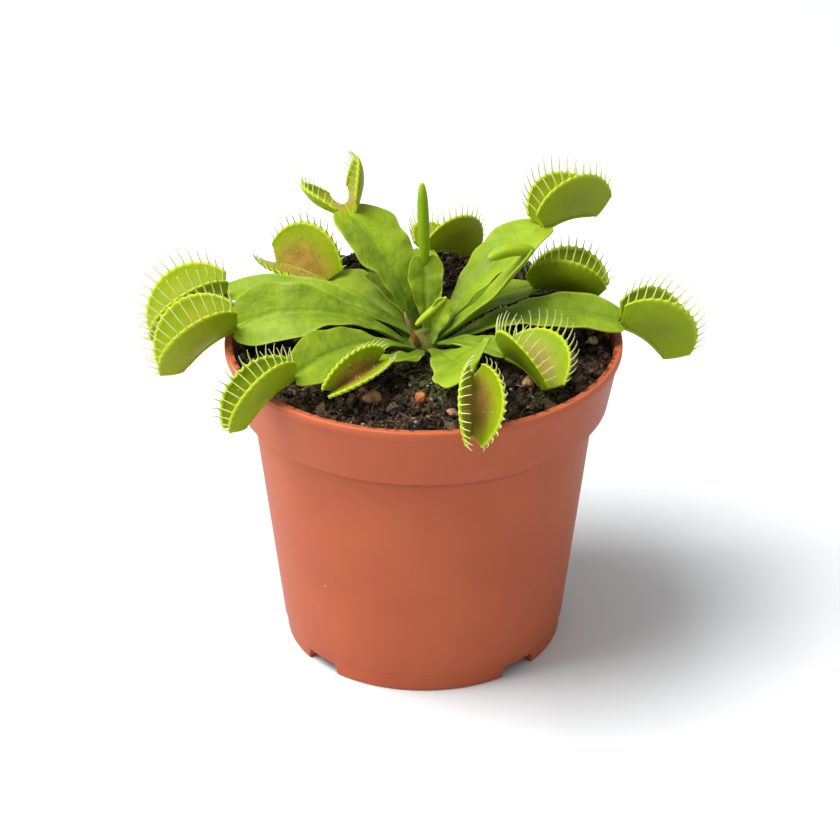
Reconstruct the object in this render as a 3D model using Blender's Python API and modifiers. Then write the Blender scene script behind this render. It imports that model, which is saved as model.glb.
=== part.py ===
"""A potted venus flytrap at real size: pot, peat, crown, leaves with their traps, and small stones.

Metres, +Z up. The front of the plant faces -Y. Lengths are written in millimetres and angles in degrees,
and a mesh is scaled by MM as it is made. Places are written from the middle of the pot's foot. Everything
hangs on the empty pot_axis, which stands at POT_PLACE, so that the origin is the middle of the whole
plant's box, on the surface that the pot stands on.
"""

import math
import random
from dataclasses import dataclass

import bmesh
import bpy
import numpy as np
from mathutils import Matrix, Vector
from mathutils.bvhtree import BVHTree

MM = 0.001
SEED = 5
POT_PLACE = (1.3, 5.9)

# Pot: radii and heights of its outer side, and its wall.
POT_HEIGHT = 74.5
LIP_RADIUS = 45.0
LIP_HEIGHT = 1.8
COLLAR_TOP_RADIUS = 44.3
COLLAR_BOTTOM_RADIUS = 42.0
COLLAR_BOTTOM = 60.0
BODY_TOP_RADIUS = 39.2
BODY_BOTTOM_RADIUS = 32.5
BAND_TOP = 4.9
BAND_STEP = 0.3
ROUND = 0.4
FOOT_RADIUS = 32.0
FOOT_INNER_RADIUS = 29.0
FOOT_ROUND = 0.6
WALL = 1.1
FLOOR_UNDERSIDE = 3.6
FLOOR_THICKNESS = 1.2
POT_STEPS = 48
NOTCHES = 4
FIRST_NOTCH = 43.0
NOTCH_HEIGHT = 3.0
NOTCH_WIDTH = 11.0
NOTCH_SLOPE = 1.6
DRAIN_RADIUS = 3.5
DRAIN_RING = 20.0

# Peat: its mean level, the gap that keeps it clear of the pot, and the plain hole that the crown stands in.
GAP = 0.3
SOIL_LEVEL = 71.3
SOIL_DIP = 0.9
SOIL_DIP_RADIUS = 9.0
SOIL_BANK = 2.4
SOIL_BANK_EDGES = (20.0, 36.0)
SOIL_RINGS = 6

# Crown: the short rhizome whose top shows between the leaf stalks.
CROWN_CENTRE = (0.5, 0.5, 72.0)
CROWN_RADIUS = 4.2
ROOT_GAP = 0.75

# Leaves: stalk blade, midrib, neck and trap.
BLADE_THICKNESS = 0.7
BLADE_BASE_WIDTH = 2.2
BLADE_ROUND = 1.02
RIPPLES = 2.2
WING_POWER = 14
BLADE_ROWS = 7
BLADE_COLUMNS = 4
RIB_ROOT_RADIUS = 0.9
RIB_NECK_RADIUS = 0.6
RIB_TIP_RADIUS = 0.4
RIB_DROP = 0.3
NECK_LENGTH = 1.8
LEAF_COLOUR = (0.35, 0.5, 0.05)
TRAP_THICKNESS = 0.7
TRAP_ROWS = 6
TRAP_COLUMNS = 6
MARGIN_HALF = 0.76
MARGIN_SWEEP = 75.0
MARGIN_LOW = 0.22
LOBE_CUP = 0.2
TOOTH_RADIUS = 0.32
TOOTH_SUNK = 0.5
TOOTH_TURN = 22.0
TOOTH_SHORTEST = 0.6
TOOTH_OFFSET = 0.15

# A young trap's outline: shares of its length, and the share of its full radius at each.
POD_ALONG = (-0.04, 0.06, 0.2, 0.45, 0.7, 0.88, 0.97)
POD_FULLNESS = (0.45, 0.8, 1.0, 1.0, 0.95, 0.75, 0.4)


@dataclass(frozen=True)
class Trap:
    """A two-lobed trap.

    heading turns from +X to +Y, pitch rises from level, and roll tips the mouth towards the trap's left.
    hinge and lip are the angles between a lobe and the mouth's axis, at the midrib and at the margin. bow
    is how far the midrib bends towards the mouth, and lean the share of its length that the margins are
    centred on.
    """

    length: float
    depth: float
    heading: float
    pitch: float
    roll: float = 0.0
    hinge: float = 45.0
    lip: float = 12.0
    bow: float = 1.2
    lean: float = 0.52
    teeth: int = 9
    tooth: float = 5.0


@dataclass(frozen=True)
class Pod:
    """A young trap that hasn't opened: a slim bean, folded back on its stalk or standing up."""

    length: float
    radius: float
    heading: float
    pitch: float
    bend: float = 0.0


@dataclass(frozen=True)
class Leaf:
    """A leaf from its root on the crown to its neck, where its trap or pod starts.

    root is the azimuth on the crown and the tilt from its top. lift and sway move the middle of the
    centreline up, and to the leaf's left. twist raises the left edge towards the neck, and fold is the rise
    of both halves from the midrib.
    """

    name: str
    root: tuple
    neck: tuple
    width: float
    lift: float = 0.0
    sway: float = 0.0
    widest: float = 0.72
    rise: float = 1.4
    twist: float = 0.0
    fold: float = 0.2
    wave: float = 0.35
    wing: float = 0.13
    end: object = None


LEAVES = [
    Leaf("leaf_left_low", (182, 75), (-41, -0.5, 78.2), 15, lift=5.0, twist=-50, widest=0.8, rise=2.6,
         end=Trap(15.5, 13.0, 192, -38, roll=-2, hinge=54, lip=20, tooth=6)),
    Leaf("leaf_left_high", (157, 50), (-44.2, 15.8, 78.2), 9.5, lift=3.7, twist=-20,
         end=Trap(15.5, 12.5, 190, -36, roll=-2, hinge=58, lip=26, tooth=5)),
    Leaf("leaf_front_left", (220, 75), (-27.5, -26.5, 79.2), 12.5, lift=3.2, sway=-0.5, rise=2.0, twist=-38,
         end=Trap(14.5, 9.2, 215, -34, roll=-8, hinge=52, lip=0, tooth=4.6)),
    Leaf("leaf_front_left_small", (255, 78), (-9.4, -17.8, 77.8), 6, sway=2.0,
         end=Trap(13.5, 6.4, 227, -6, roll=36, hinge=46, lip=24, tooth=2)),
    Leaf("leaf_front", (290, 75), (10.3, -38.5, 86.6), 15, lift=-0.6, sway=1.2, twist=45, widest=0.85,
         rise=1.2, end=Trap(12.3, 9.8, 268, -52, roll=15, hinge=48, lip=14, tooth=3.8)),
    Leaf("leaf_front_right", (325, 62), (17.6, -12, 76.5), 8, lift=1.0,
         end=Trap(14.0, 11.0, -57, -8, roll=13, hinge=52, lip=24, tooth=4)),
    Leaf("leaf_right", (356, 75), (43.0, 1, 78.1), 13, lift=4.0, twist=14, widest=0.85,
         end=Trap(13.6, 13.0, 3, -40, roll=12, hinge=44, lip=12, tooth=5)),
    Leaf("leaf_back_right", (40, 75), (24.5, 18, 78), 10, lift=2.0,
         end=Trap(12.8, 11.5, -12, -4, roll=10, hinge=74, lip=-6, tooth=3.5)),
    Leaf("leaf_right_tall", (22, 52), (26.2, 15, 94), 14.5, lift=3.0, widest=0.8, rise=1.7,
         end=Trap(14.0, 12.0, 31, 0, roll=18, hinge=45, lip=15, tooth=5)),
    Leaf("leaf_back", (78, 75), (0, 24, 84), 8, lift=1.0,
         end=Trap(12.0, 10.5, 40, -20, roll=25, hinge=58, lip=28, tooth=4)),
    Leaf("leaf_back_left", (146, 75), (-21.4, 24.9, 75.6), 11.5, lift=2.6, twist=-25,
         end=Trap(14.0, 12.0, 146, 4, roll=27, hinge=53, lip=30, lean=0.42, tooth=4)),
    Leaf("leaf_back_left_tall", (115, 50), (-16, 15, 97), 18.5, lift=2.8, sway=0.6, widest=0.84, twist=4,
         end=Trap(9.0, 13.2, 100, -8, roll=23, hinge=80, lip=-8, tooth=3)),
    Leaf("leaf_back_left_narrow", (106, 72), (-12.8, 14.2, 83.0), 4.0, lift=1.3, wing=0),
    Leaf("leaf_young_upright", (80, 20), (0.3, 8, 89.9), 8, widest=0.85, end=Pod(19.5, 1.3, 180, 88)),
    Leaf("leaf_young_folded", (-15, 45), (24, 0.5, 96.1), 5.5, lift=-1, sway=-0.8, widest=0.6, wing=0,
         end=Pod(10, 1.7, 190, -8, bend=1.0)),
    Leaf("leaf_centre_bud", (318, 33), (4.8, 1.2, 83.6), 4.8, widest=0.6, twist=60, wing=0,
         end=Pod(9, 0.9, 200, -38)),
]


@dataclass(frozen=True)
class Stone:
    """A small stone on the peat: its place, the lengths of its three axes, its turn and its colour."""

    name: str
    place: tuple
    size: tuple
    turn: float
    colour: tuple


STONES = [
    Stone("stone_tan", (-11.5, -25.0), (4.4, 3.6, 2.8), 20, (0.42, 0.2, 0.09)),
    Stone("stone_orange", (-0.6, -26.5), (3.2, 2.8, 3.0), 60, (0.45, 0.15, 0.06)),
    Stone("stone_pink", (6.2, -31.5), (2.6, 2.0, 1.8), 10, (0.45, 0.2, 0.13)),
    Stone("stone_brown", (23.0, -19.5), (2.6, 3.6, 2.6), -25, (0.3, 0.15, 0.07)),
    Stone("stone_cream", (38.4, 1.5), (2.3, 2.6, 2.0), 35, (0.5, 0.4, 0.2)),
]
STONE_ROUGHNESS = 0.12

# The base of an old leaf beside the crown, and the dried stalk that still stands on it.
OLD_BASE = [(-1.75, -2.95, 75.15), (-2.2, -3.3, 76.6), (-2.8, -3.4, 78.0)]
OLD_BASE_RADII = [1.0, 0.9, 0.35]
OLD_STALK = [(-3.0, -3.4, 78.4), (-3.3, -3.2, 79.6), (-3.9, -3.0, 81.2), (-4.2, -2.9, 82.4)]
OLD_STALK_RADII = [0.35, 0.45, 0.4, 0.3]


# ---------------------------------------------------------------------------------------------------------
# Forms as formulas, in millimetres
# ---------------------------------------------------------------------------------------------------------


def axes(heading, pitch, roll=0.0):
    """Unit vectors along, left and up for a direction, with up tipped towards left by roll."""
    heading, pitch, roll = map(math.radians, (heading, pitch, roll))
    flat = np.array([math.cos(heading), math.sin(heading), 0.0])
    along = flat * math.cos(pitch) + np.array([0.0, 0.0, math.sin(pitch)])
    left = np.array([-math.sin(heading), math.cos(heading), 0.0])
    up = np.cross(along, left)
    tipped = up * math.cos(roll) + left * math.sin(roll)
    return along, left * math.cos(roll) - up * math.sin(roll), tipped


def unit(vectors):
    return vectors / np.linalg.norm(vectors, axis=-1, keepdims=True)


def root_point(leaf):
    """Where the leaf starts, just clear of the crown."""
    azimuth, tilt = map(math.radians, leaf.root)
    out = [math.sin(tilt) * math.cos(azimuth), math.sin(tilt) * math.sin(azimuth), math.cos(tilt)]
    return np.array(CROWN_CENTRE) + (CROWN_RADIUS + ROOT_GAP) * np.array(out)


def centreline(leaf, t):
    """The leaf's middle line and its unit axes along, left and up, at shares t of its length."""
    t = np.asarray(t, float)[..., None]
    start, neck = root_point(leaf), np.array(leaf.neck, float)
    chord = neck - start
    sideways = unit(np.array([-chord[1], chord[0], 0.0]))
    rise = unit(np.cross(chord, sideways))
    bend = (start + neck) / 2 + 2 * leaf.lift * rise + 2 * leaf.sway * sideways
    point = (1 - t) ** 2 * start + 2 * t * (1 - t) * bend + t**2 * neck
    along = unit(2 * (1 - t) * (bend - start) + 2 * t * (neck - bend))
    left = unit(sideways - along * (along @ sideways)[..., None])
    up = np.cross(along, left)
    turn = math.radians(leaf.twist) * t
    return point, along, left * np.cos(turn) + up * np.sin(turn), up * np.cos(turn) - left * np.sin(turn)


def half_width(leaf, t):
    """Half the blade's width: a rise on a sine up to its widest place, then an ellipse to the neck."""
    rise = np.sin(math.pi / 2 * np.clip(t / leaf.widest, 0, 1)) ** leaf.rise
    past = np.clip((t - leaf.widest) / (BLADE_ROUND - leaf.widest), 0, 1)
    share = rise * np.sqrt(1 - past**2)
    return BLADE_BASE_WIDTH / 2 + (leaf.width - BLADE_BASE_WIDTH) / 2 * share


def blade_points(leaf, t, v):
    """The blade at shares t along it and v across it, from -1 at its right edge to 1 at its left."""
    point, along, left, up = centreline(leaf, t)
    across = half_width(leaf, t)
    phase = len(leaf.name) + np.sign(v)
    ripple = leaf.wave * v**2 * np.sin(2 * math.pi * RIPPLES * t + phase) * np.sin(math.pi * t)
    past = leaf.wing * leaf.width * np.abs(v) * t**WING_POWER
    rise = leaf.fold * np.abs(v) * across * np.sin(math.pi / 2 * np.clip(3 * t, 0, 1)) + ripple
    return point + along * past[..., None] + left * (v * across)[..., None] + up * rise[..., None]


def trap_start(leaf):
    """The end of the neck, where the trap's midrib starts."""
    along, _, _ = axes(leaf.end.heading, leaf.end.pitch)
    return np.array(leaf.neck, float) + NECK_LENGTH * along


def trap_points(leaf, u, w):
    """The trap at u along it, from -1 to 1, and w across it: 0 on the midrib, -1 and 1 on the margins.

    A lobe lies between the bowed midrib and an elliptical margin that is longer than it, and it follows an
    arc of a circle across, from the hinge angle to the lip angle.
    """
    trap = leaf.end
    sweep = math.radians(MARGIN_SWEEP) * u
    side, out = np.sign(w), np.abs(w)
    midrib_x = trap.length * (0.5 + 0.5 * u)
    margin_x = trap.length * (trap.lean + MARGIN_HALF * np.sin(sweep))
    reach = trap.depth * (MARGIN_LOW + (1 - MARGIN_LOW) * np.cos(sweep))
    hinge, turn = math.radians(trap.hinge), math.radians(trap.lip - trap.hinge)
    x = midrib_x + (margin_x - midrib_x) * out
    y = side * reach * (math.cos(hinge) - np.cos(hinge + turn * out)) / turn * (1 - LOBE_CUP * u**2)
    z = trap.bow * (1 - u**2) + reach * (np.sin(hinge + turn * out) - math.sin(hinge)) / turn
    along, left, up = axes(trap.heading, trap.pitch, trap.roll)
    return trap_start(leaf) + x[..., None] * along + y[..., None] * left + z[..., None] * up


def tooth_lines(leaf, side):
    """The sunk root and the tip of each bristle on one lobe's margin."""
    trap = leaf.end
    u = -1 + 2 / trap.teeth * (np.arange(trap.teeth) + 0.5 - side * TOOTH_OFFSET)
    edge = trap_points(leaf, u, side * np.ones_like(u))
    out = unit(edge - trap_points(leaf, u, side * 0.9 * np.ones_like(u)))
    _, left, _ = axes(trap.heading, trap.pitch, trap.roll)
    turn = math.radians(TOOTH_TURN)
    aim = unit(out * math.cos(turn) - side * left * math.sin(turn))
    length = trap.tooth * (TOOTH_SHORTEST + (1 - TOOTH_SHORTEST) * np.cos(math.pi / 2 * u))
    return edge - TOOTH_SUNK * out, edge + length[:, None] * aim


def rib_line(leaf):
    """Points and radii of the midrib, from the root through the neck and along the trap."""
    t = np.linspace(0, 1, 6)
    point, _, _, up = centreline(leaf, t)
    points = list(point - RIB_DROP * up * np.minimum(1, 2 * t)[:, None])
    radii = list(np.linspace(RIB_ROOT_RADIUS, RIB_NECK_RADIUS, len(t)))
    if isinstance(leaf.end, Trap):
        u = np.linspace(-0.9, 0.9, 5)
        points += list(trap_points(leaf, u, np.zeros_like(u)))
        radii += list(np.linspace(RIB_NECK_RADIUS, RIB_TIP_RADIUS, len(u)))
    return points, radii


def pod_line(leaf):
    """Points and radii of a young trap: a bean, with round ends, that bends a little."""
    pod = leaf.end
    along, _, up = axes(pod.heading, pod.pitch)
    share = np.array(POD_ALONG)
    lift = pod.bend * np.sin(math.pi * share)
    points = np.array(leaf.neck, float) + pod.length * share[:, None] * along + lift[:, None] * up
    return list(points), [pod.radius * full for full in POD_FULLNESS]


def pot_inner_radius(z):
    """The radius of the pot's inside at a height."""
    heights = [FLOOR_UNDERSIDE + FLOOR_THICKNESS, COLLAR_BOTTOM, COLLAR_BOTTOM + WALL, POT_HEIGHT]
    radii = [BODY_BOTTOM_RADIUS, BODY_TOP_RADIUS, COLLAR_BOTTOM_RADIUS, COLLAR_TOP_RADIUS]
    return float(np.interp(z, heights, radii)) - WALL


def soil_height(x, y):
    """The peat's surface: gentle lumps, banked up behind, and lower and flat round the crown."""
    lumps = 0.5 * np.sin(0.33 * x + 0.8) * np.cos(0.29 * y - 0.4) + 0.3 * np.sin(0.61 * x - 0.47 * y)
    lumps += 0.2 * np.sin(1.03 * x + 0.6) * np.sin(0.94 * y + 1.9)
    lumps += SOIL_BANK * np.clip((y - SOIL_BANK_EDGES[0]) / np.ptp(SOIL_BANK_EDGES), 0, 1)
    away = np.hypot(x - CROWN_CENTRE[0], y - CROWN_CENTRE[1]) / SOIL_DIP_RADIUS
    flat = np.exp(-(away**2))
    return SOIL_LEVEL + lumps * (1 - flat) - SOIL_DIP * flat


# ---------------------------------------------------------------------------------------------------------
# Building blocks
# ---------------------------------------------------------------------------------------------------------


def clear_scene():
    for obj in list(bpy.data.objects):
        bpy.data.objects.remove(obj, do_unlink=True)


def material(name, colour, roughness):
    """A Principled material of one colour, in linear RGB."""
    made = bpy.data.materials.new(name)
    made.use_nodes = True
    shader = made.node_tree.nodes["Principled BSDF"]
    shader.inputs["Base Color"].default_value = (*colour, 1.0)
    shader.inputs["Roughness"].default_value = roughness
    shader.inputs["Metallic"].default_value = 0.0
    made.diffuse_color = (*colour, 1.0)
    return made


def add(name, mesh, collection, finish=None):
    obj = bpy.data.objects.new(name, mesh)
    if finish:
        mesh.materials.append(finish)
    collection.objects.link(obj)
    return obj


def mesh_from(bm, name):
    mesh = bpy.data.meshes.new(name)
    bm.to_mesh(mesh)
    bm.free()
    return mesh


def sheet(name, form, rows, columns, thickness, collection):
    """A thin curved sheet: a grid whose points form(s, v) gives, split alike on both faces.

    s runs from 0 to 1 along the grid and v from -1 to 1 across it.
    """
    bm = bmesh.new()
    bmesh.ops.create_grid(bm, x_segments=rows, y_segments=columns, size=1.0)
    flat = np.array([vert.co[:2] for vert in bm.verts])
    placed = form((flat[:, 0] + 1) / 2, flat[:, 1]) * MM
    for vert, place in zip(bm.verts, placed):
        vert.co = place
    bmesh.ops.triangulate(bm, faces=bm.faces[:])
    obj = add(name, mesh_from(bm, name), collection)
    shell = obj.modifiers.new("thickness", "SOLIDIFY")
    shell.thickness = thickness * MM
    shell.offset = 0.0
    return obj


def tube(name, points, radii, collection, sides=4):
    """A tapered tube with filled ends, made as a curve and turned into a mesh."""
    curve = bpy.data.curves.new(name, "CURVE")
    curve.dimensions = "3D"
    curve.bevel_depth = MM
    curve.bevel_resolution = sides // 2 - 2
    curve.use_fill_caps = True
    spline = curve.splines.new("POLY")
    spline.points.add(len(points) - 1)
    for knot, point, radius in zip(spline.points, points, radii):
        knot.co = (*(np.array(point) * MM), 1.0)
        knot.radius = radius
    guide = add(name + "_guide", curve, collection)
    bpy.context.view_layer.update()
    graph = bpy.context.evaluated_depsgraph_get()
    mesh = bpy.data.meshes.new_from_object(guide.evaluated_get(graph))
    bpy.data.objects.remove(guide, do_unlink=True)
    bm = bmesh.new()
    bm.from_mesh(mesh)
    bmesh.ops.remove_doubles(bm, verts=bm.verts[:], dist=0.01 * MM)
    bmesh.ops.recalc_face_normals(bm, faces=bm.faces[:])
    bm.to_mesh(mesh)
    bm.free()
    return add(name, mesh, collection)


def spikes(name, roots, tips, radius, collection):
    """Three-sided needles from roots to tips, in one mesh."""
    bm = bmesh.new()
    for root, tip in zip(roots, tips):
        line = Vector((tip - root) * MM)
        turn = line.to_track_quat("Z", "Y").to_matrix().to_4x4()
        middle = Matrix.Translation(Vector(root * MM) + line / 2)
        bmesh.ops.create_cone(
            bm, cap_ends=True, segments=3, radius1=radius * MM, radius2=0.0,
            depth=line.length, matrix=middle @ turn,
        )
    bmesh.ops.remove_doubles(bm, verts=bm.verts[:], dist=0.001 * MM)
    return add(name, mesh_from(bm, name), collection)


def fuse(name, pieces, finish, collection):
    """One closed mesh from pieces that overlap, by a Boolean union on their collection."""
    body, others = pieces[0], bpy.data.collections.new(name + "_pieces")
    bpy.context.scene.collection.children.link(others)
    for piece in pieces[1:]:
        for holder in piece.users_collection:
            holder.objects.unlink(piece)
        others.objects.link(piece)
    union = body.modifiers.new("union", "BOOLEAN")
    union.operation = "UNION"
    union.operand_type = "COLLECTION"
    union.collection = others
    union.solver = "MANIFOLD"
    bpy.context.view_layer.update()
    graph = bpy.context.evaluated_depsgraph_get()
    mesh = bpy.data.meshes.new_from_object(body.evaluated_get(graph))
    mesh.materials.clear()
    for piece in pieces:
        bpy.data.objects.remove(piece, do_unlink=True)
    bpy.data.collections.remove(others)
    return add(name, mesh, collection, finish)


def turned(name, profile, steps, collection, finish=None):
    """A profile of (radius, height) points turned about the Z axis."""
    mesh = bpy.data.meshes.new(name)
    points = [(radius * MM, 0.0, height * MM) for radius, height in profile]
    mesh.from_pydata(points, [(i, i + 1) for i in range(len(points) - 1)], [])
    obj = add(name, mesh, collection, finish)
    screw = obj.modifiers.new("turn", "SCREW")
    screw.steps = steps
    screw.render_steps = steps
    screw.use_merge_vertices = True
    screw.merge_threshold = 0.00001
    screw.use_smooth_shade = False
    return obj


# ---------------------------------------------------------------------------------------------------------
# The pieces
# ---------------------------------------------------------------------------------------------------------


def pot_profile():
    """From the middle of the floor, up the inside, over the lip, down the outside and under the floor."""
    floor_top = FLOOR_UNDERSIDE + FLOOR_THICKNESS
    lip_bottom = POT_HEIGHT - LIP_HEIGHT
    return [
        (0, floor_top),
        (BODY_BOTTOM_RADIUS - WALL, floor_top),
        (BODY_TOP_RADIUS - WALL, COLLAR_BOTTOM),
        (COLLAR_BOTTOM_RADIUS - WALL, COLLAR_BOTTOM + WALL),
        (COLLAR_TOP_RADIUS - WALL, POT_HEIGHT),
        (LIP_RADIUS - ROUND, POT_HEIGHT),
        (LIP_RADIUS, POT_HEIGHT - ROUND),
        (LIP_RADIUS, lip_bottom),
        (COLLAR_TOP_RADIUS, lip_bottom - ROUND),
        (COLLAR_BOTTOM_RADIUS, COLLAR_BOTTOM + ROUND),
        (COLLAR_BOTTOM_RADIUS - ROUND, COLLAR_BOTTOM),
        (BODY_TOP_RADIUS, COLLAR_BOTTOM),
        (BODY_BOTTOM_RADIUS + BAND_STEP, BAND_TOP),
        (BODY_BOTTOM_RADIUS, BAND_TOP - BAND_STEP),
        (FOOT_RADIUS, FOOT_ROUND),
        (FOOT_RADIUS - FOOT_ROUND, 0),
        (FOOT_INNER_RADIUS, 0),
        (FOOT_INNER_RADIUS, FLOOR_UNDERSIDE),
        (0, FLOOR_UNDERSIDE),
    ]


def notch_cutter(name, angle, collection):
    """A block with sloping sides, narrower at its top, that opens the foot ring."""
    bm = bmesh.new()
    bmesh.ops.create_cube(bm, size=1.0)
    for vert in bm.verts:
        top = vert.co.z > 0
        width = NOTCH_WIDTH - 2 * NOTCH_SLOPE * top
        through = 3 * (FOOT_RADIUS - FOOT_INNER_RADIUS)
        height = NOTCH_HEIGHT if top else -NOTCH_HEIGHT
        vert.co = Vector((vert.co.x * through, vert.co.y * width, height)) * MM
    obj = add(name, mesh_from(bm, name), collection)
    ring = (FOOT_RADIUS + FOOT_INNER_RADIUS) / 2 * MM
    obj.location = (ring * math.cos(angle), ring * math.sin(angle), 0)
    obj.rotation_euler.z = angle
    return obj


def drain_cutter(name, angle, collection):
    bm = bmesh.new()
    bmesh.ops.create_cone(
        bm, cap_ends=True, segments=20, radius1=DRAIN_RADIUS * MM, radius2=DRAIN_RADIUS * MM,
        depth=4 * FLOOR_THICKNESS * MM,
    )
    obj = add(name, mesh_from(bm, name), collection)
    middle = (FLOOR_UNDERSIDE + FLOOR_THICKNESS / 2) * MM
    obj.location = (DRAIN_RING * MM * math.cos(angle), DRAIN_RING * MM * math.sin(angle), middle)
    return obj


def make_pot(collection, cutters):
    plastic = material("terracotta_plastic", (0.52, 0.13, 0.06), 0.45)
    pot = turned("pot", pot_profile(), POT_STEPS, collection, plastic)
    for i in range(NOTCHES):
        angle = math.radians(FIRST_NOTCH + 360 / NOTCHES * i)
        notch_cutter(f"notch_cutter_{i + 1}", angle, cutters)
        drain_cutter(f"drain_cutter_{i + 1}", angle, cutters)
    for cutter in cutters.objects:
        cutter.hide_render = True
        cutter.display_type = "WIRE"
    cut = pot.modifiers.new("foot_notches_and_drains", "BOOLEAN")
    cut.operand_type = "COLLECTION"
    cut.collection = cutters
    cut.solver = "EXACT"
    return pot


def make_soil(collection):
    """The peat: it follows the pot's inside, and its top takes its height from the formula."""
    floor_top = FLOOR_UNDERSIDE + FLOOR_THICKNESS + GAP
    edge_radius = pot_inner_radius(SOIL_LEVEL) - 1.5 * GAP
    hole_radius = CROWN_RADIUS + GAP / math.cos(math.pi / POT_STEPS)
    hole_floor = CROWN_CENTRE[2] - CROWN_RADIUS - GAP
    rings = np.linspace(hole_radius, edge_radius, SOIL_RINGS)
    profile = [(0, hole_floor), (hole_radius, hole_floor)]
    profile += [(radius, SOIL_LEVEL) for radius in rings]
    profile += [
        (COLLAR_BOTTOM_RADIUS - WALL - GAP, COLLAR_BOTTOM + WALL + GAP),
        (BODY_TOP_RADIUS - WALL - GAP, COLLAR_BOTTOM + GAP),
        (BODY_BOTTOM_RADIUS - WALL - GAP, floor_top),
        (0, floor_top),
    ]
    soil = turned("soil", profile, POT_STEPS, collection, material("peat", (0.03, 0.02, 0.014), 0.95))
    bpy.context.view_layer.update()
    mesh = bpy.data.meshes.new_from_object(soil.evaluated_get(bpy.context.evaluated_depsgraph_get()))
    soil.modifiers.clear()
    soil.data = mesh
    for vert in mesh.vertices:
        x, y, z = np.array(vert.co) / MM
        inside = max(0.0, 1 - math.hypot(x, y) / edge_radius)
        x, y = x + inside * CROWN_CENTRE[0], y + inside * CROWN_CENTRE[1]
        if abs(z - SOIL_LEVEL) < GAP:
            z = float(soil_height(x, y))
        vert.co = Vector((x, y, z)) * MM
    return soil


def make_crown(collection):
    bm = bmesh.new()
    bmesh.ops.create_uvsphere(bm, u_segments=14, v_segments=8, radius=CROWN_RADIUS * MM)
    crown = add("crown", mesh_from(bm, "crown"), collection, material("rhizome", (0.35, 0.4, 0.12), 0.6))
    crown.location = Vector(CROWN_CENTRE) * MM
    return crown


def make_stone(stone, soil, collection, rng):
    """A rough pebble, let down until it is just clear of the peat."""
    bm = bmesh.new()
    bmesh.ops.create_icosphere(bm, subdivisions=2, radius=0.5)
    turn = Matrix.Rotation(math.radians(stone.turn), 4, "Z")
    for vert in bm.verts:
        rough = 1 + rng.uniform(-STONE_ROUGHNESS, STONE_ROUGHNESS)
        scaled = Vector([side * along for side, along in zip(stone.size, vert.co)]) * rough
        vert.co = turn @ scaled * MM
    surface = BVHTree.FromPolygons(
        [vert.co for vert in soil.data.vertices], [face.vertices for face in soil.data.polygons]
    )
    above = Vector((*stone.place, 2 * POT_HEIGHT)) * MM
    drops = [surface.ray_cast(vert.co + above, Vector((0, 0, -1)))[3] for vert in bm.verts]
    finish = material(stone.name, stone.colour, 0.8)
    pebble = add(stone.name, mesh_from(bm, stone.name), collection, finish)
    pebble.location = above - Vector((0, 0, min(drops) - GAP * MM))
    return pebble


def make_leaf(leaf, collection):
    """A leaf as one body: blade, midrib and neck, and its trap with bristles or its young pod."""

    def blade(s, v):
        return blade_points(leaf, 1 - (1 - s) ** 1.5, v)

    def lobes(s, w):
        return trap_points(leaf, 2 * s - 1, w)

    pieces = [
        sheet(leaf.name + "_blade", blade, BLADE_ROWS, BLADE_COLUMNS, BLADE_THICKNESS, collection),
        tube(leaf.name + "_rib", *rib_line(leaf), collection),
    ]
    if isinstance(leaf.end, Trap):
        pieces.append(
            sheet(leaf.name + "_lobes", lobes, TRAP_ROWS, TRAP_COLUMNS, TRAP_THICKNESS, collection)
        )
        for side in (-1, 1):
            roots, tips = tooth_lines(leaf, side)
            pieces.append(spikes(f"{leaf.name}_teeth_{side}", roots, tips, TOOTH_RADIUS, collection))
    elif isinstance(leaf.end, Pod):
        pieces.append(tube(leaf.name + "_pod", *pod_line(leaf), collection, sides=8))
    return fuse(leaf.name, pieces, material(leaf.name, LEAF_COLOUR, 0.45), collection)


def main():
    clear_scene()
    parts = bpy.data.collections.new("potted_venus_flytrap")
    cutters = bpy.data.collections.new("cutters")
    bpy.context.scene.collection.children.link(parts)
    bpy.context.scene.collection.children.link(cutters)
    make_pot(parts, cutters)
    soil = make_soil(parts)
    make_crown(parts)
    for leaf in LEAVES:
        make_leaf(leaf, parts)
    for name, points, radii, colour in (
        ("old_leaf_base", OLD_BASE, OLD_BASE_RADII, (0.35, 0.13, 0.05)),
        ("old_leaf_stalk", OLD_STALK, OLD_STALK_RADII, (0.2, 0.14, 0.08)),
    ):
        tube(name, points, radii, parts, sides=6).data.materials.append(material(name, colour, 0.8))
    rng = random.Random(SEED)
    for stone in STONES:
        make_stone(stone, soil, parts, rng)
    pot_axis = bpy.data.objects.new("pot_axis", None)
    for obj in [*parts.objects, *cutters.objects]:
        obj.parent = pot_axis
    parts.objects.link(pot_axis)
    pot_axis.location = Vector((*POT_PLACE, 0)) * MM


main()
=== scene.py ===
"""A potted venus flytrap: living leaves with toothed traps, peat, pebbles and a moulded plastic pot.

The formulas are in millimetres and degrees, from the middle of the pot's foot. A point is moved to the
pot's place in the frame and turned to metres as a mesh is laid. The plant's front faces -Y, and +Z is up.
"""

import math
from dataclasses import dataclass

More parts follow.
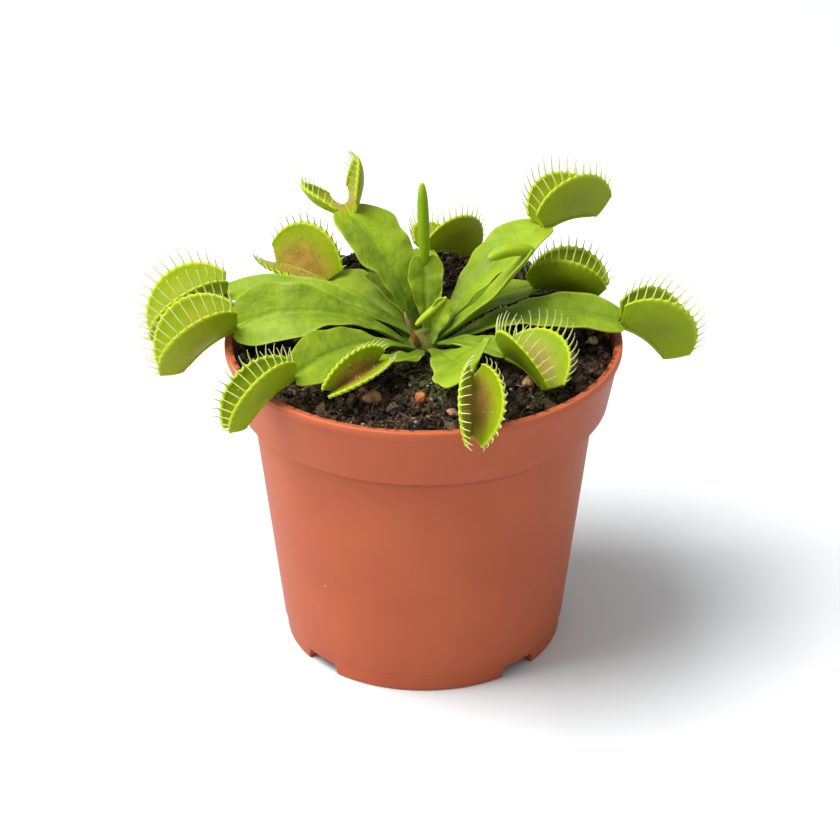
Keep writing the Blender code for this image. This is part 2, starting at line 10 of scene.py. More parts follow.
import bmesh
import bpy
import numpy as np
from bpy.props import FloatProperty, FloatVectorProperty, IntProperty, PointerProperty
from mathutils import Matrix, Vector


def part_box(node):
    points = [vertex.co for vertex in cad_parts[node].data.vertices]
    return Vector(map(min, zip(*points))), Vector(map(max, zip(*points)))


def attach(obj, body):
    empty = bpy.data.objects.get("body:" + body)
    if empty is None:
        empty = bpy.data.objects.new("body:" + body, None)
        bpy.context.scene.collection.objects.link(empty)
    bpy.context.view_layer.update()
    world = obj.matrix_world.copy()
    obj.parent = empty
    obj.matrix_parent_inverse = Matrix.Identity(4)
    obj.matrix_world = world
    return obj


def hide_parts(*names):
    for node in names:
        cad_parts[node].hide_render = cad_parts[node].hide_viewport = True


bl_info = {
    "name": "Potted Venus Flytrap",
    "version": (1, 0, 0),
    "blender": (4, 5, 0),
    "location": "View3D > Sidebar > Flytrap",
    "description": "Builds the leaves, traps, peat, pebbles and pot of a potted venus flytrap",
    "category": "Add Mesh",
}

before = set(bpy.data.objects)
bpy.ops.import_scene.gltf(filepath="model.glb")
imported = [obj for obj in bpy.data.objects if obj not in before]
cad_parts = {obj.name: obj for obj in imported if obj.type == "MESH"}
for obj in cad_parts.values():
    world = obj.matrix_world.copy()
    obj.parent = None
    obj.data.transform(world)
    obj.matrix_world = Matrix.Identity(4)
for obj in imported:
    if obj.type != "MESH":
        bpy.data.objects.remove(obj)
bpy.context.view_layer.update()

MM = 0.001
POT_LOW, POT_HIGH = (np.array(corner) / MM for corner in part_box("pot"))
POT_PLACE = np.array([*(POT_LOW + POT_HIGH)[:2] / 2, 0.0])

# The crown, and how the leaves grow from it.
CROWN_CENTRE = np.array([0.5, 0.5, 72.0])
CROWN_RADIUS = 4.2
ROOT_GAP = 0.75
ROOT_SUNK = 1.6

# The blades, as the frame's solids have them: width at the root, the share of the centreline at which the
# rounded end closes, waves along the edge, and how late the shoulders beside the neck come forward.
BLADE_BASE_WIDTH = 2.2
BLADE_ROUND = 1.02
RIPPLES = 2.2
WING_POWER = 14

# The traps and their bristles: shares of a trap's length or depth, and millimetres.
NECK_LENGTH = 1.8
MARGIN_HALF = 0.76
MARGIN_SWEEP = 75.0
MARGIN_LOW = 0.22
LOBE_CUP = 0.2
SCALLOP = 0.42
BRISTLE_SHORTEST = 0.6
BRISTLE_SUNK = 0.5
BRISTLE_TURNS = (8.0, 27.0)
BRISTLE_OFFSETS = {-1: 0.3, 1: 0.7}
TRIGGER_PLACES = ((-0.35, 0.5), (0.2, 0.36), (0.2, 0.68))
TRIGGER_LENGTH = 1.3
TRIGGER_RADIUS = 0.09

# The peat, as the frame's solid has it, and the pot's lip above it.
SOIL_LEVEL = 71.3
SOIL_DIP = 0.9
SOIL_DIP_RADIUS = 9.0
SOIL_BANK = 2.4
SOIL_BANK_EDGES = (20.0, 36.0)
SOIL_EDGE = 42.4
RIM_TOP = 74.5

# Where moss grows: (x, y) of the middle of each patch, its spread squared, and how green it is.
MOSS_PATCHES = ((-1, -15, 30, 1.0), (5, -22, 30, 1.0), (26, -24, 26, 0.7), (-15, 0, 20, 0.4))

# The skirt of the peat bed inside the pot: (radius, height) of each of its rings, downwards.
SOIL_SKIRT = ((SOIL_EDGE - 1.5, 62.0), (40.5, 61.4), (37.8, 60.3), (31.1, 5.1))

# The clods heaped behind the leaves: their headings, how far out they are, and from where they lie on the
# pot's lip.
HEAP_HEADINGS = (35, 160)
HEAP_REACH = (38.5, 43.8)
LIP_START = 42

# The pot's section: (radius, height) of each corner and how far the corner is rounded.
POT_CORNERS = (
    (0, 4.8, 0), (31.4, 4.8, 0.8), (38.1, 60.0, 0.5), (40.9, 61.1, 0.5), (43.2, RIM_TOP, 0.35),
    (45.0, RIM_TOP, 0.5), (45.0, 72.7, 0.35), (44.35, 72.4, 0.25), (42.0, 60.0, 0.4), (39.2, 60.0, 0.5),
    (39.04, 58.6, 0), (38.87, 57.2, 0), (32.8, 4.9, 0.2), (32.5, 4.6, 0.2), (32.33, 3.0, 0),
    (32.0, 0.0, 0.55), (29.0, 0.0, 0.4), (29.0, 3.0, 0), (29.0, 3.6, 0.2), (0, 3.6, 0),
)

# The middle of its worn lip, which also carries a painted highlight, the height of the painted shade under
# its collar, the notches in its foot, the drains, the heights that cut them, and the angle from which an
# edge is sharp.
WORN_LIP_HIGHLIGHT = (44.8, 74.3)
COLLAR_CREASE = 59.2
NOTCHES = 4
FIRST_NOTCH = 43.0
NOTCH_RING = 30.5
NOTCH_HALVES = (3.9, 4.7)
NOTCH_HEIGHT = 3.0
DRAIN_RING = 20.0
DRAIN_RADIUS = 3.5
DRAIN_CUT = (2.0, 4.2, 6.4)
SHARP_EDGE = 38

# How finely each piece is meshed: points along and across, or along and round.
BLADE_GRID = (84, 31)
TRAP_GRID = (97, 57)
KEEL_GRID = (20, 12)
BRISTLE_GRID = (8, 6)
TRIGGER_SIDES = 5
POD_GRID = (44, 28)
CROWN_GRID = (36, 72)
OLD_LEAF_GRID = (28, 14)
PEBBLE_GRID = (26, 36)
GRAIN_GRID = (4, 7)
FIBRE_GRID = (7, 6)
SOIL_GRID = 195
POT_SIDES = 240
DRAIN_SIDES = 40

# Colours of small marks: pale painted sheen on blades and traps, glands, scales, dead strands, pits in
# pebbles, and the pot's specks, scuffs and smears, and the painted shade under its collar.
PAINTED_BLADE_SHEEN = "#95A63E"
PAINTED_LOBE_SHEEN = "#7A8426"
GLAND_RED = "#8A4632"
SCALE_BROWN = "#6B5A2A"
SOILED_SCALE = "#33241A"
DEAD_STRAND = "#4E3322"
PIT_BROWN = "#2A1C14"
SPECK_BROWN = "#6B3422"
SCUFF_PALE = "#F2CBB6"
SMEAR_BROWN = "#3A241A"
# Painted shade under the pot's collar.
COLLAR_SHADE_BROWN = "#7A3823"

# The stage: where the camera and the lamps aim, in millimetres from the pot's foot, and where each lamp
# stands from there, in metres.
AIM = (-0.8, 0.0, 53.17)
LAMPS = {"key_softbox": (-0.5, -0.08, 0.98), "side_fill": (-1.0, -0.4, 0.35)}
LAMP_SIZE = 0.7
SKY_COLOUR = (0.94, 1.0, 1.02, 1.0)


@dataclass(frozen=True)
class Trap:
    """An open trap: heading from +X to +Y, pitch from level, and roll that tips its mouth to its left.

    hinge and lip are the angles between a lobe and the mouth's axis, at the midrib and at the margin. bow
    is how far the midrib arches, lean is where the margin's middle lies along the trap, tooth is the
    longest bristle, and blush is how red its inside has turned.
    """

    length: float
    depth: float
    heading: float
    pitch: float
    roll: float = 0.0
    hinge: float = 45.0
    lip: float = 12.0
    bow: float = 1.2
    lean: float = 0.52
    tooth: float = 5.0
    blush: float = 0.3


@dataclass(frozen=True)
class Pod:
    """A young trap that hasn't opened, with bend as the rise of its middle."""

    length: float
    radius: float
    heading: float
    pitch: float
    bend: float = 0.0


@dataclass(frozen=True)
class Leaf:
    """A leaf from its root on the crown (azimuth, tilt) to its neck, where its trap or pod starts.

    lift and sway bow its middle up and to its left, widest is where along it the blade is widest, and a
    greater rise widens it later. twist raises its left edge, fold is the rise of both halves from the
    midrib, wave the height of the edges' waves, wing the share of its width by which the shoulders pass the
    neck, and tone how yellow its green is. On a leaf that lies in shade, a high tone is painted light.
    """

    name: str
    root: tuple
    neck: tuple
    width: float
    lift: float = 0.0
    sway: float = 0.0
    widest: float = 0.72
    rise: float = 1.4
    twist: float = 0.0
    fold: float = 0.2
    wave: float = 0.35
    wing: float = 0.13
    tone: float = 0.5
    end: object = None


LEAVES = [
    Leaf("leaf_left_low", (182, 75), (-41, -0.5, 78.2), 15, lift=5.0, twist=-50, widest=0.8, rise=2.6,
         tone=0.5, end=Trap(15.5, 13.0, 192, -38, roll=-2, hinge=54, lip=20, tooth=6, blush=0.4)),
    Leaf("leaf_left_high", (157, 50), (-44.2, 15.8, 78.2), 9.5, lift=3.7, twist=-20, tone=0.5,
         end=Trap(15.5, 12.5, 190, -36, roll=-2, hinge=58, lip=26, tooth=5, blush=0.2)),
    Leaf("leaf_front_left", (220, 75), (-27.5, -26.5, 79.2), 12.5, lift=3.2, sway=-0.5, rise=2.0, twist=-38,
         tone=0.5, end=Trap(14.5, 9.2, 215, -34, roll=-8, hinge=52, lip=0, tooth=4.6, blush=0.1)),
    Leaf("leaf_front_left_small", (255, 78), (-9.4, -17.8, 77.8), 6, sway=2.0, tone=0.4,
         end=Trap(13.5, 6.4, 227, -6, roll=36, hinge=46, lip=24, tooth=2, blush=0.85)),
    Leaf("leaf_front", (290, 75), (10.3, -38.5, 86.6), 15, lift=-0.6, sway=1.2, twist=45, widest=0.85,
         rise=1.2, tone=0.5,
         end=Trap(12.3, 9.8, 268, -52, roll=15, hinge=48, lip=14, tooth=4.6, blush=0.8)),
    Leaf("leaf_front_right", (325, 62), (17.6, -12, 76.5), 8, lift=1.0, tone=0.3,
         end=Trap(14.0, 11.0, -57, -8, roll=13, hinge=52, lip=24, tooth=5, blush=0.7)),
    Leaf("leaf_right", (356, 75), (43.0, 1, 78.1), 13, lift=4.0, twist=14, widest=0.85, tone=0.35,
         end=Trap(13.6, 13.0, 3, -40, roll=12, hinge=44, lip=12, tooth=5, blush=0.2)),
    Leaf("leaf_back_right", (40, 75), (24.5, 18, 78), 10, lift=2.0, tone=0.5,
         end=Trap(12.8, 11.5, -12, -4, roll=10, hinge=74, lip=-6, tooth=3.5, blush=0.2)),
    Leaf("leaf_right_tall", (22, 52), (26.2, 15, 94), 14.5, lift=3.0, widest=0.8, rise=1.7, tone=0.65,
         end=Trap(14.0, 12.0, 31, 0, roll=18, hinge=45, lip=15, tooth=5, blush=0.2)),
    # leaf_back's tone is at its top to paint light onto its trap, which lies in shade.
    Leaf("leaf_back", (78, 75), (0, 24, 84), 8, lift=1.0, tone=1.0,
         end=Trap(12.0, 10.5, 40, -20, roll=25, hinge=58, lip=28, tooth=4, blush=0.4)),
    Leaf("leaf_back_left", (146, 75), (-21.4, 24.9, 75.6), 11.5, lift=2.6, twist=-25, tone=0.6,
         end=Trap(14.0, 12.0, 146, 4, roll=27, hinge=53, lip=30, lean=0.42, tooth=4, blush=0.8)),
    Leaf("leaf_back_left_tall", (115, 50), (-16, 15, 97), 18.5, lift=2.8, sway=0.6, widest=0.84, twist=4,
         tone=0.65, end=Trap(9.0, 13.2, 100, -8, roll=23, hinge=80, lip=-8, tooth=3, blush=0.6)),
    Leaf("leaf_back_left_narrow", (106, 72), (-12.8, 14.2, 83.0), 4.0, lift=1.3, wing=0, tone=0.2),
    Leaf("leaf_young_upright", (80, 20), (0.3, 8, 89.9), 8, widest=0.85, tone=0.45,
         end=Pod(19.5, 1.3, 180, 88)),
    Leaf("leaf_young_folded", (-15, 45), (24, 0.5, 96.1), 5.5, lift=-1, sway=-0.8, widest=0.6, wing=0,
         tone=0.6, end=Pod(10, 1.45, 190, -8, bend=1.0)),
    Leaf("leaf_centre_bud", (318, 33), (4.8, 1.2, 83.6), 4.8, widest=0.6, twist=60, wing=0,
         tone=0.95, end=Pod(9, 0.9, 200, -38)),
]

# The pebbles: their light and dark colours. Their places and sizes come from the frame.
PEBBLES = {
    "stone_tan": ("#D9A26B", "#8A5A34"),
    "stone_orange": ("#CF7A42", "#7E3E20"),
    "stone_pink": ("#D8A082", "#9A5C42"),
    "stone_brown": ("#C89A60", "#6B4526"),
    "stone_cream": ("#DECB98", "#A08A56"),
}

# What is left of an old leaf: its fresh and withered colours, and points (x, y, z, radius) upwards.
OLD_LEAF = {
    "old_leaf_base": (
        "#B0703A", "#A5673A", (-1.6, -2.8, 74.4, 0.75), (-1.9, -3.1, 75.6, 0.85), (-2.2, -3.3, 76.6, 0.7),
        (-2.8, -3.4, 78.0, 0.3)),
    "old_leaf_stalk": (
        "#9A7648", "#B39A72", (-2.8, -3.4, 77.8, 0.3), (-3.0, -3.4, 78.4, 0.36), (-3.3, -3.2, 79.6, 0.45),
        (-3.9, -3.0, 81.2, 0.4), (-4.2, -2.9, 82.4, 0.2)),
}


# ---------------------------------------------------------------------------------------------------------
# Formulas
# ---------------------------------------------------------------------------------------------------------


def unit(vectors):
    """Vectors divided by their lengths."""
    return vectors / np.maximum(np.linalg.norm(vectors, axis=-1, keepdims=True), 1e-12)


def smooth(low, high, x):
    """0 below low, 1 above high, and a cubic ease between them."""
    share = np.clip((x - low) / (high - low), 0, 1)
    return share * share * (3 - 2 * share)


def axes(heading, pitch, roll=0.0):
    """Unit vectors along, left and up for a direction, with up tipped towards left by roll."""
    heading, pitch, roll = map(math.radians, (heading, pitch, roll))
    flat = np.array([math.cos(heading), math.sin(heading), 0.0])
    along = flat * math.cos(pitch) + np.array([0.0, 0.0, math.sin(pitch)])
    left = np.array([-math.sin(heading), math.cos(heading), 0.0])
    up = np.cross(along, left)
    return along, left * math.cos(roll) - up * math.sin(roll), up * math.cos(roll) + left * math.sin(roll)


def waves(points, size, seed, count=9):
    """Smooth lumps about -1 to 1: a sum of sine waves in seeded directions, about size millimetres long."""
    rng = np.random.default_rng(seed)
    turns = unit(rng.normal(size=(count, points.shape[-1]))) * rng.uniform(0.6, 1.5, (count, 1))
    phases = rng.uniform(0, 2 * math.pi, count)
    return np.sin(points @ turns.T * (2 * math.pi / size) + phases).sum(-1) / math.sqrt(count)


def bend_of(leaf):
    """The start, the middle control point and the sideways unit vector of the leaf's centreline.

    The start is at the root's azimuth and tilt, just off the crown. The control point is the middle of the
    chord, moved by twice the lift and the sway, so the curve passes at those lengths from the chord.
    """
    azimuth, tilt = map(math.radians, leaf.root)
    out = [math.sin(tilt) * math.cos(azimuth), math.sin(tilt) * math.sin(azimuth), math.cos(tilt)]
    start = CROWN_CENTRE + (CROWN_RADIUS + ROOT_GAP) * np.array(out)
    chord = np.array(leaf.neck, float) - start
    sideways = unit(np.array([-chord[1], chord[0], 0.0]))
    rise = unit(np.cross(chord, sideways))
    return start, start + chord / 2 + 2 * leaf.lift * rise + 2 * leaf.sway * sideways, sideways


def centreline(leaf, t):
    """A quadratic curve from the root to the neck, and its unit axes along, left and up.

    The axes turn about the curve by twist as t goes from 0 to 1.
    """
    start, bend, sideways = bend_of(leaf)
    t = np.asarray(t, float)[..., None]
    neck = np.array(leaf.neck, float)
    point = (1 - t) ** 2 * start + 2 * t * (1 - t) * bend + t**2 * neck
    along = unit(2 * (1 - t) * (bend - start) + 2 * t * (neck - bend))
    left = unit(sideways - along * (along @ sideways)[..., None])
    up = np.cross(along, left)
    turn = math.radians(leaf.twist) * t
    return point, along, left * np.cos(turn) + up * np.sin(turn), up * np.cos(turn) - left * np.sin(turn)


def blade_points(leaf, t, v):
    """The blade at t along it and v across it, from -1 to 1, and how far each point is from the midrib.

    Its half width rises on a sine to the widest place and closes on an ellipse at the neck. Sine waves lobe
    and lift its edges, more on a broad leaf, and both halves rise from the midrib.
    """
    point, along, left, up = centreline(leaf, t)
    seed, side = len(leaf.name), np.sign(v)
    swell = np.sin(math.pi / 2 * np.clip(t / leaf.widest, 0, 1)) ** leaf.rise
    past = np.clip((t - leaf.widest) / (BLADE_ROUND - leaf.widest), 0, 1)
    half = BLADE_BASE_WIDTH / 2 + (leaf.width - BLADE_BASE_WIDTH) / 2 * swell * np.sqrt(1 - past**2)
    lobed = 1 + 0.05 * v**2 * np.sin(2 * math.pi * 2.9 * t + 2.1 * side + seed) * smooth(0.2, 0.5, t)
    across = v * half * lobed
    broad = smooth(3, 18, leaf.width) * np.sin(math.pi * np.clip(t, 0, 1))
    lift = leaf.fold * np.abs(v) * half * np.sin(math.pi / 2 * np.clip(3 * t, 0, 1))
    lift += leaf.wave * v**2 * np.sin(2 * math.pi * RIPPLES * t + seed + side) * np.sin(math.pi * t)
    lift += 0.32 * np.abs(v) ** 3 * np.sin(2 * math.pi * 5.3 * t + 2 * seed + 2.4 * side) * broad
    lift += 0.35 * np.sin(math.pi * v) * np.sin(2 * math.pi * 1.4 * t + seed) * smooth(0.3, 0.6, t) * broad
    past_neck = leaf.wing * leaf.width * np.abs(v) * np.clip(t, 0, 1) ** WING_POWER
    placed = point + along * past_neck[..., None] + left * across[..., None] + up * lift[..., None]
    return placed, across


def bristle_phase(u, side, bristles):
    """A whole number at each bristle, which stand evenly in u with the two sides out of step."""
    return (u + 1) / 2 * bristles - np.where(side > 0, BRISTLE_OFFSETS[1], BRISTLE_OFFSETS[-1])


def trap_points(leaf, u, w, bristles=0):
    """The trap at u along it, from -1 to 1, and w across it: 0 on the midrib, -1 and 1 on the margins.

    A lobe spans from the bowed midrib to an elliptical margin longer than it, on an arc of a circle from
    the hinge angle to the lip angle. Between bristles the margin is scalloped.
    """
    trap = leaf.end
    sweep = math.radians(MARGIN_SWEEP) * u
    side, out = np.sign(w), np.abs(w)
    midrib_x = trap.length * (0.5 + 0.5 * u)
    margin_x = trap.length * (trap.lean + MARGIN_HALF * np.sin(sweep))
    reach = trap.depth * (MARGIN_LOW + (1 - MARGIN_LOW) * np.cos(sweep))
    if bristles:
        between = 0.5 - 0.5 * np.cos(2 * math.pi * bristle_phase(u, side, bristles))
        reach = reach - SCALLOP * between * smooth(0.8, 1.0, out)
    hinge, turn = math.radians(trap.hinge), math.radians(trap.lip - trap.hinge)
    x = midrib_x + (margin_x - midrib_x) * out
    y = side * reach * (math.cos(hinge) - np.cos(hinge + turn * out)) / turn * (1 - LOBE_CUP * u**2)
    z = trap.bow * (1 - u**2) + reach * (np.sin(hinge + turn * out) - math.sin(hinge)) / turn
    along, left, up = axes(trap.heading, trap.pitch, trap.roll)
    start = np.array(leaf.neck, float) + NECK_LENGTH * axes(trap.heading, trap.pitch)[0]
    return start + x[..., None] * along + y[..., None] * left + z[..., None] * up


def soil_height(x, y):
    """The peat's surface: gentle lumps from sine waves and a bank that rises evenly behind.

    A bell curve about the crown takes both away and lowers the surface there.
    """
    lumps = 0.5 * np.sin(0.33 * x + 0.8) * np.cos(0.29 * y - 0.4) + 0.3 * np.sin(0.61 * x - 0.47 * y)
    lumps += 0.2 * np.sin(1.03 * x + 0.6) * np.sin(0.94 * y + 1.9)
    lumps += SOIL_BANK * np.clip((y - SOIL_BANK_EDGES[0]) / np.ptp(SOIL_BANK_EDGES), 0, 1)
    away = np.hypot(x - CROWN_CENTRE[0], y - CROWN_CENTRE[1]) / SOIL_DIP_RADIUS
    flat = np.exp(-(away**2))
    return SOIL_LEVEL + lumps * (1 - flat) - SOIL_DIP * flat


def moss_share(x, y):
    """How green the peat is: a sum of bell curves about the middles of the patches of moss."""
    near = (share * np.exp(-((x - middle_x) ** 2 + (y - middle_y) ** 2) / spread)
            for middle_x, middle_y, spread, share in MOSS_PATCHES)
    return np.clip(sum(near), 0, 1)


# ---------------------------------------------------------------------------------------------------------
# Patches: parts of a mesh as whole arrays
# ---------------------------------------------------------------------------------------------------------


def patch(points, faces, finish=0, mask=(0.0, 0.0, 0.0), flow=(0.0, 0.0, 0.0)):
    """Points (n, 3) in millimetres, a list of face arrays, and what the material reads at each point.

    mask holds three shares a material mixes its colours by. flow holds millimetres along and across the
    surface and a number for the piece.
    """
    points = np.asarray(points, float).reshape(-1, 3)
    mask = np.broadcast_to(np.asarray(mask, float).reshape(-1, 3), points.shape)
    flow = np.broadcast_to(np.asarray(flow, float).reshape(-1, 3), points.shape)
    return {"points": points, "faces": [np.asarray(f, np.int64) for f in faces], "finish": finish,
            "mask": mask, "flow": flow}


def grid_quads(rows, columns, closed=False):
    """The quads of a grid of points, wrapping across its columns if closed."""
    i, j = np.meshgrid(np.arange(rows - 1), np.arange(columns if closed else columns - 1), indexing="ij")
    k = (j + 1) % columns
    corners = np.stack([i * columns + j, (i + 1) * columns + j, (i + 1) * columns + k, i * columns + k], -1)
    return corners.reshape(-1, 4)


def border_of(rows, columns):
    """The points round the edge of a grid, anticlockwise from its first."""
    index = np.arange(rows * columns).reshape(rows, columns)
    return np.concatenate([index[:, 0], index[-1, 1:], index[-2::-1, -1], index[0, -2:0:-1]])


def slopes(points):
    """Unit normals of a grid of points, from its differences along and across."""
    return unit(np.cross(np.gradient(points, axis=0), np.gradient(points, axis=1)))


def shares(rows, columns, *channels):
    """Channels of a grid's mask or flow, each spread over the whole grid and stacked."""
    return np.stack([np.broadcast_to(channel, (rows, columns)) for channel in channels], -1)


def leaf_sheet(points, over, under, finish, mask_over, mask_under, flow):
    """A closed sheet: a grid pushed out along its normals by over and under, and sewn up at its edge."""
    rows, columns = points.shape[:2]
    normals = slopes(points)
    top = points + normals * np.broadcast_to(over, (rows, columns))[..., None]
    bottom = points - normals * np.broadcast_to(under, (rows, columns))[..., None]
    faces, count, border = grid_quads(rows, columns), rows * columns, border_of(rows, columns)
    after = np.roll(border, -1)
    edge = np.stack([border + count, after + count, after, border], -1)
    both = np.concatenate([top.reshape(-1, 3), bottom.reshape(-1, 3)])
    masks = np.concatenate([mask_over.reshape(-1, 3), mask_under.reshape(-1, 3)])
    flows = np.tile(flow.reshape(-1, 3), (2, 1))
    return patch(both, [faces, faces[:, ::-1] + count, edge], finish, masks, flows)


def tubes(paths, radii, sides, finish=0, mask=(0.0, 0.0, 0.0)):
    """Tapered tubes along paths (tubes, steps, 3): rings at right angles to each path, closed at both ends.

    radii is (tubes, steps), or (tubes, steps, sides) for rings that aren't round. mask is one for all
    points, or one for each tube and step.
    """
    paths, radii = np.asarray(paths, float), np.asarray(radii, float)
    many, steps = paths.shape[:2]
    forward = unit(np.gradient(paths, axis=1))
    whole = unit(paths[:, -1] - paths[:, 0])[:, None]
    helper = np.where(np.abs(whole[..., 2:]) > 0.8, [0.0, 1.0, 0.0], [0.0, 0.0, 1.0])
    across = unit(np.cross(helper, forward))
    over = np.cross(forward, across)
    angle = 2 * math.pi * np.arange(sides) / sides
    ring = across[:, :, None] * np.cos(angle)[:, None] + over[:, :, None] * np.sin(angle)[:, None]
    reach = radii[..., None] if radii.ndim == 2 else radii
    points = paths[:, :, None] + np.broadcast_to(reach, (many, steps, sides))[..., None] * ring
    start = (np.arange(many) * steps * sides)[:, None, None]
    walls = (start + grid_quads(steps, sides, closed=True)[None, :, ::-1]).reshape(-1, 4)
    first = start[:, 0] + np.arange(sides)
    mask = np.asarray(mask, float)
    if mask.ndim == 3:
        mask = np.repeat(mask, sides, axis=1)
    length = np.cumsum(np.linalg.norm(np.diff(paths, axis=1, prepend=paths[:, :1]), axis=-1), axis=1)
    flow = np.stack([np.repeat(length, sides, axis=1), np.tile(angle, (many, steps)),
                     np.broadcast_to(np.arange(many)[:, None], (many, steps * sides))], -1)
    return patch(points, [walls, first[:, ::-1], first + (steps - 1) * sides], finish, mask, flow)


def ball(rings, sides):
    """A unit ball as rings of points from pole to pole, with its quads and its two end caps."""
    pole = 0.15
    tilt = np.linspace(pole, math.pi - pole, rings)[:, None]
    angle = 2 * math.pi * np.arange(sides) / sides
    points = np.stack([np.sin(tilt) * np.cos(angle), np.sin(tilt) * np.sin(angle),
                       np.broadcast_to(np.cos(tilt), (rings, sides))], -1)
    caps = np.stack([np.arange(sides), np.arange(sides)[::-1] + (rings - 1) * sides])
    return points.reshape(-1, 3), grid_quads(rings, sides, closed=True), caps


def scatter(places, sizes, roughness, seed, finish, masks):
    """Rough grains: a ball with its points pushed in and out at random, sized, turned and put in place.

    places, sizes (full lengths of the three axes) and masks are (grains, 3). A grain's turn is the rotation
    matrix of a random unit quaternion (w, x, y, z).
    """
    rng = np.random.default_rng(seed)
    points, faces, caps = ball(*GRAIN_GRID)
    many, each = len(places), len(points)
    local = points * (1 + roughness * rng.uniform(-1, 1, (many, each, 1))) * sizes[:, None] / 2
    w, x, y, z = unit(rng.normal(size=(many, 4))).T
    turns = np.stack([
        1 - 2 * (y * y + z * z), 2 * (x * y - z * w), 2 * (x * z + y * w),
        2 * (x * y + z * w), 1 - 2 * (x * x + z * z), 2 * (y * z - x * w),
        2 * (x * z - y * w), 2 * (y * z + x * w), 1 - 2 * (x * x + y * y)], -1).reshape(many, 3, 3)
    placed = np.einsum("nij,nkj->nki", turns, local) + places[:, None]
    start = (np.arange(many) * each)[:, None, None]
    return patch(placed, [(start + faces).reshape(-1, 4), (start + caps).reshape(-1, caps.shape[1])],
                 finish, np.repeat(masks, each, axis=0))


def lay_mesh(name, patches, finishes, smooth_shading=True):
    """One object at the origin from patches, moved to the pot's place and turned to metres."""
    firsts = np.cumsum([0] + [len(p["points"]) for p in patches])
    blocks = [(faces + first, p["finish"]) for p, first in zip(patches, firsts) for faces in p["faces"]]
    mesh = bpy.data.meshes.new(name)
    mesh.vertices.add(int(firsts[-1]))
    points = (np.concatenate([p["points"] for p in patches]) + POT_PLACE) * MM
    mesh.vertices.foreach_set("co", points.ravel())
    loops = np.concatenate([faces.ravel() for faces, _ in blocks])
    sides = np.concatenate([np.full(len(faces), faces.shape[1]) for faces, _ in blocks])
    mesh.loops.add(len(loops))
    mesh.loops.foreach_set("vertex_index", loops)
    mesh.polygons.add(len(sides))
    mesh.polygons.foreach_set("loop_start", np.concatenate([[0], np.cumsum(sides)[:-1]]))
    mesh.polygons.foreach_set("material_index", np.concatenate([np.full(len(f), m) for f, m in blocks]))
    mesh.polygons.foreach_set("use_smooth", np.full(len(sides), smooth_shading))
    colours = np.concatenate([p["mask"] for p in patches])
    mask = mesh.attributes.new("mask", "FLOAT_COLOR", "POINT")
    mask.data.foreach_set("color", np.column_stack([colours, np.ones(len(colours))]).ravel())
    flow = mesh.attributes.new("flow", "FLOAT_VECTOR", "POINT")
    flow.data.foreach_set("vector", np.concatenate([p["flow"] for p in patches]).ravel())
    for finish in finishes:
        mesh.materials.append(finish)
    mesh.update(calc_edges=True)
    mesh.validate()
    piece = bpy.data.objects.new(name, mesh)
    bpy.context.scene.collection.objects.link(piece)
    return piece


def belongs(piece, node):
    """The piece rides on the plant and stands in for its CAD node, which it hides."""
    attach(piece, "root")
    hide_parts(node)


# ---------------------------------------------------------------------------------------------------------
# Materials
# ---------------------------------------------------------------------------------------------------------
# Object coordinates are in metres, so a pattern's Scale is the number of its features to the metre, and one
# of them is 1000 / Scale millimetres across.


def linear(hex_value):
    """Linear light from an sRGB hex value, as three shares."""
    share = np.array([int(hex_value[i:i + 2], 16) / 255 for i in (1, 3, 5)])
    return tuple(np.where(share <= 0.04045, share / 12.92, ((share + 0.055) / 1.055) ** 2.4).tolist())


def add_node(tree, kind, inputs, output=0, **settings):
    """Adds a node with its settings and links, and returns one of its outputs.

    inputs maps a socket's name or number to a value, to a colour of three shares, or to the output that
    feeds it.
    """
    made = tree.nodes.new(kind)
    for name, value in settings.items():
        setattr(made, name, value)
    for name, value in inputs.items():
        socket = made.inputs[name]
        if isinstance(value, bpy.types.NodeSocket):
            tree.links.new(value, socket)
        else:
            socket.default_value = (*value, 1.0) if socket.type == "RGBA" else value
    return made.outputs[output]


def new_material(name, **constants):
    """A Principled material with constants on the shader's own sockets, its tree and Object coordinates."""
    made = bpy.data.materials.new(name)
    made.use_nodes = True
    tree = made.node_tree
    for socket, value in constants.items():
        tree.nodes["Principled BSDF"].inputs[socket.replace("_", " ")].default_value = value
    return made, tree, add_node(tree, "ShaderNodeTexCoord", {}, "Object")


def finish_material(made, hue, layers, bumps, roughness=None):
    """Lays colours over one another, stacks bumps, feeds the shader with both and returns the material.

    layers are pairs of a share and the colour that it brings, from the lowest up. bumps are triples of a
    strength, a depth in metres and the output that gives the height.
    """
    tree = made.node_tree
    for share, over in layers:
        hue = add_node(tree, "ShaderNodeMix", {0: share, 6: hue, 7: over}, 2, data_type="RGBA")
    feeds = {"Base Color": hue} if layers else {}
    if roughness:
        feeds["Roughness"] = roughness
    below = {}
    for strength, depth, height in bumps:
        inputs = {"Strength": strength, "Distance": depth, "Height": height, **below}
        below = {"Normal": add_node(tree, "ShaderNodeBump", inputs)}
    for socket, output in {**feeds, **below}.items():
        tree.links.new(output, tree.nodes["Principled BSDF"].inputs[socket])
    return made


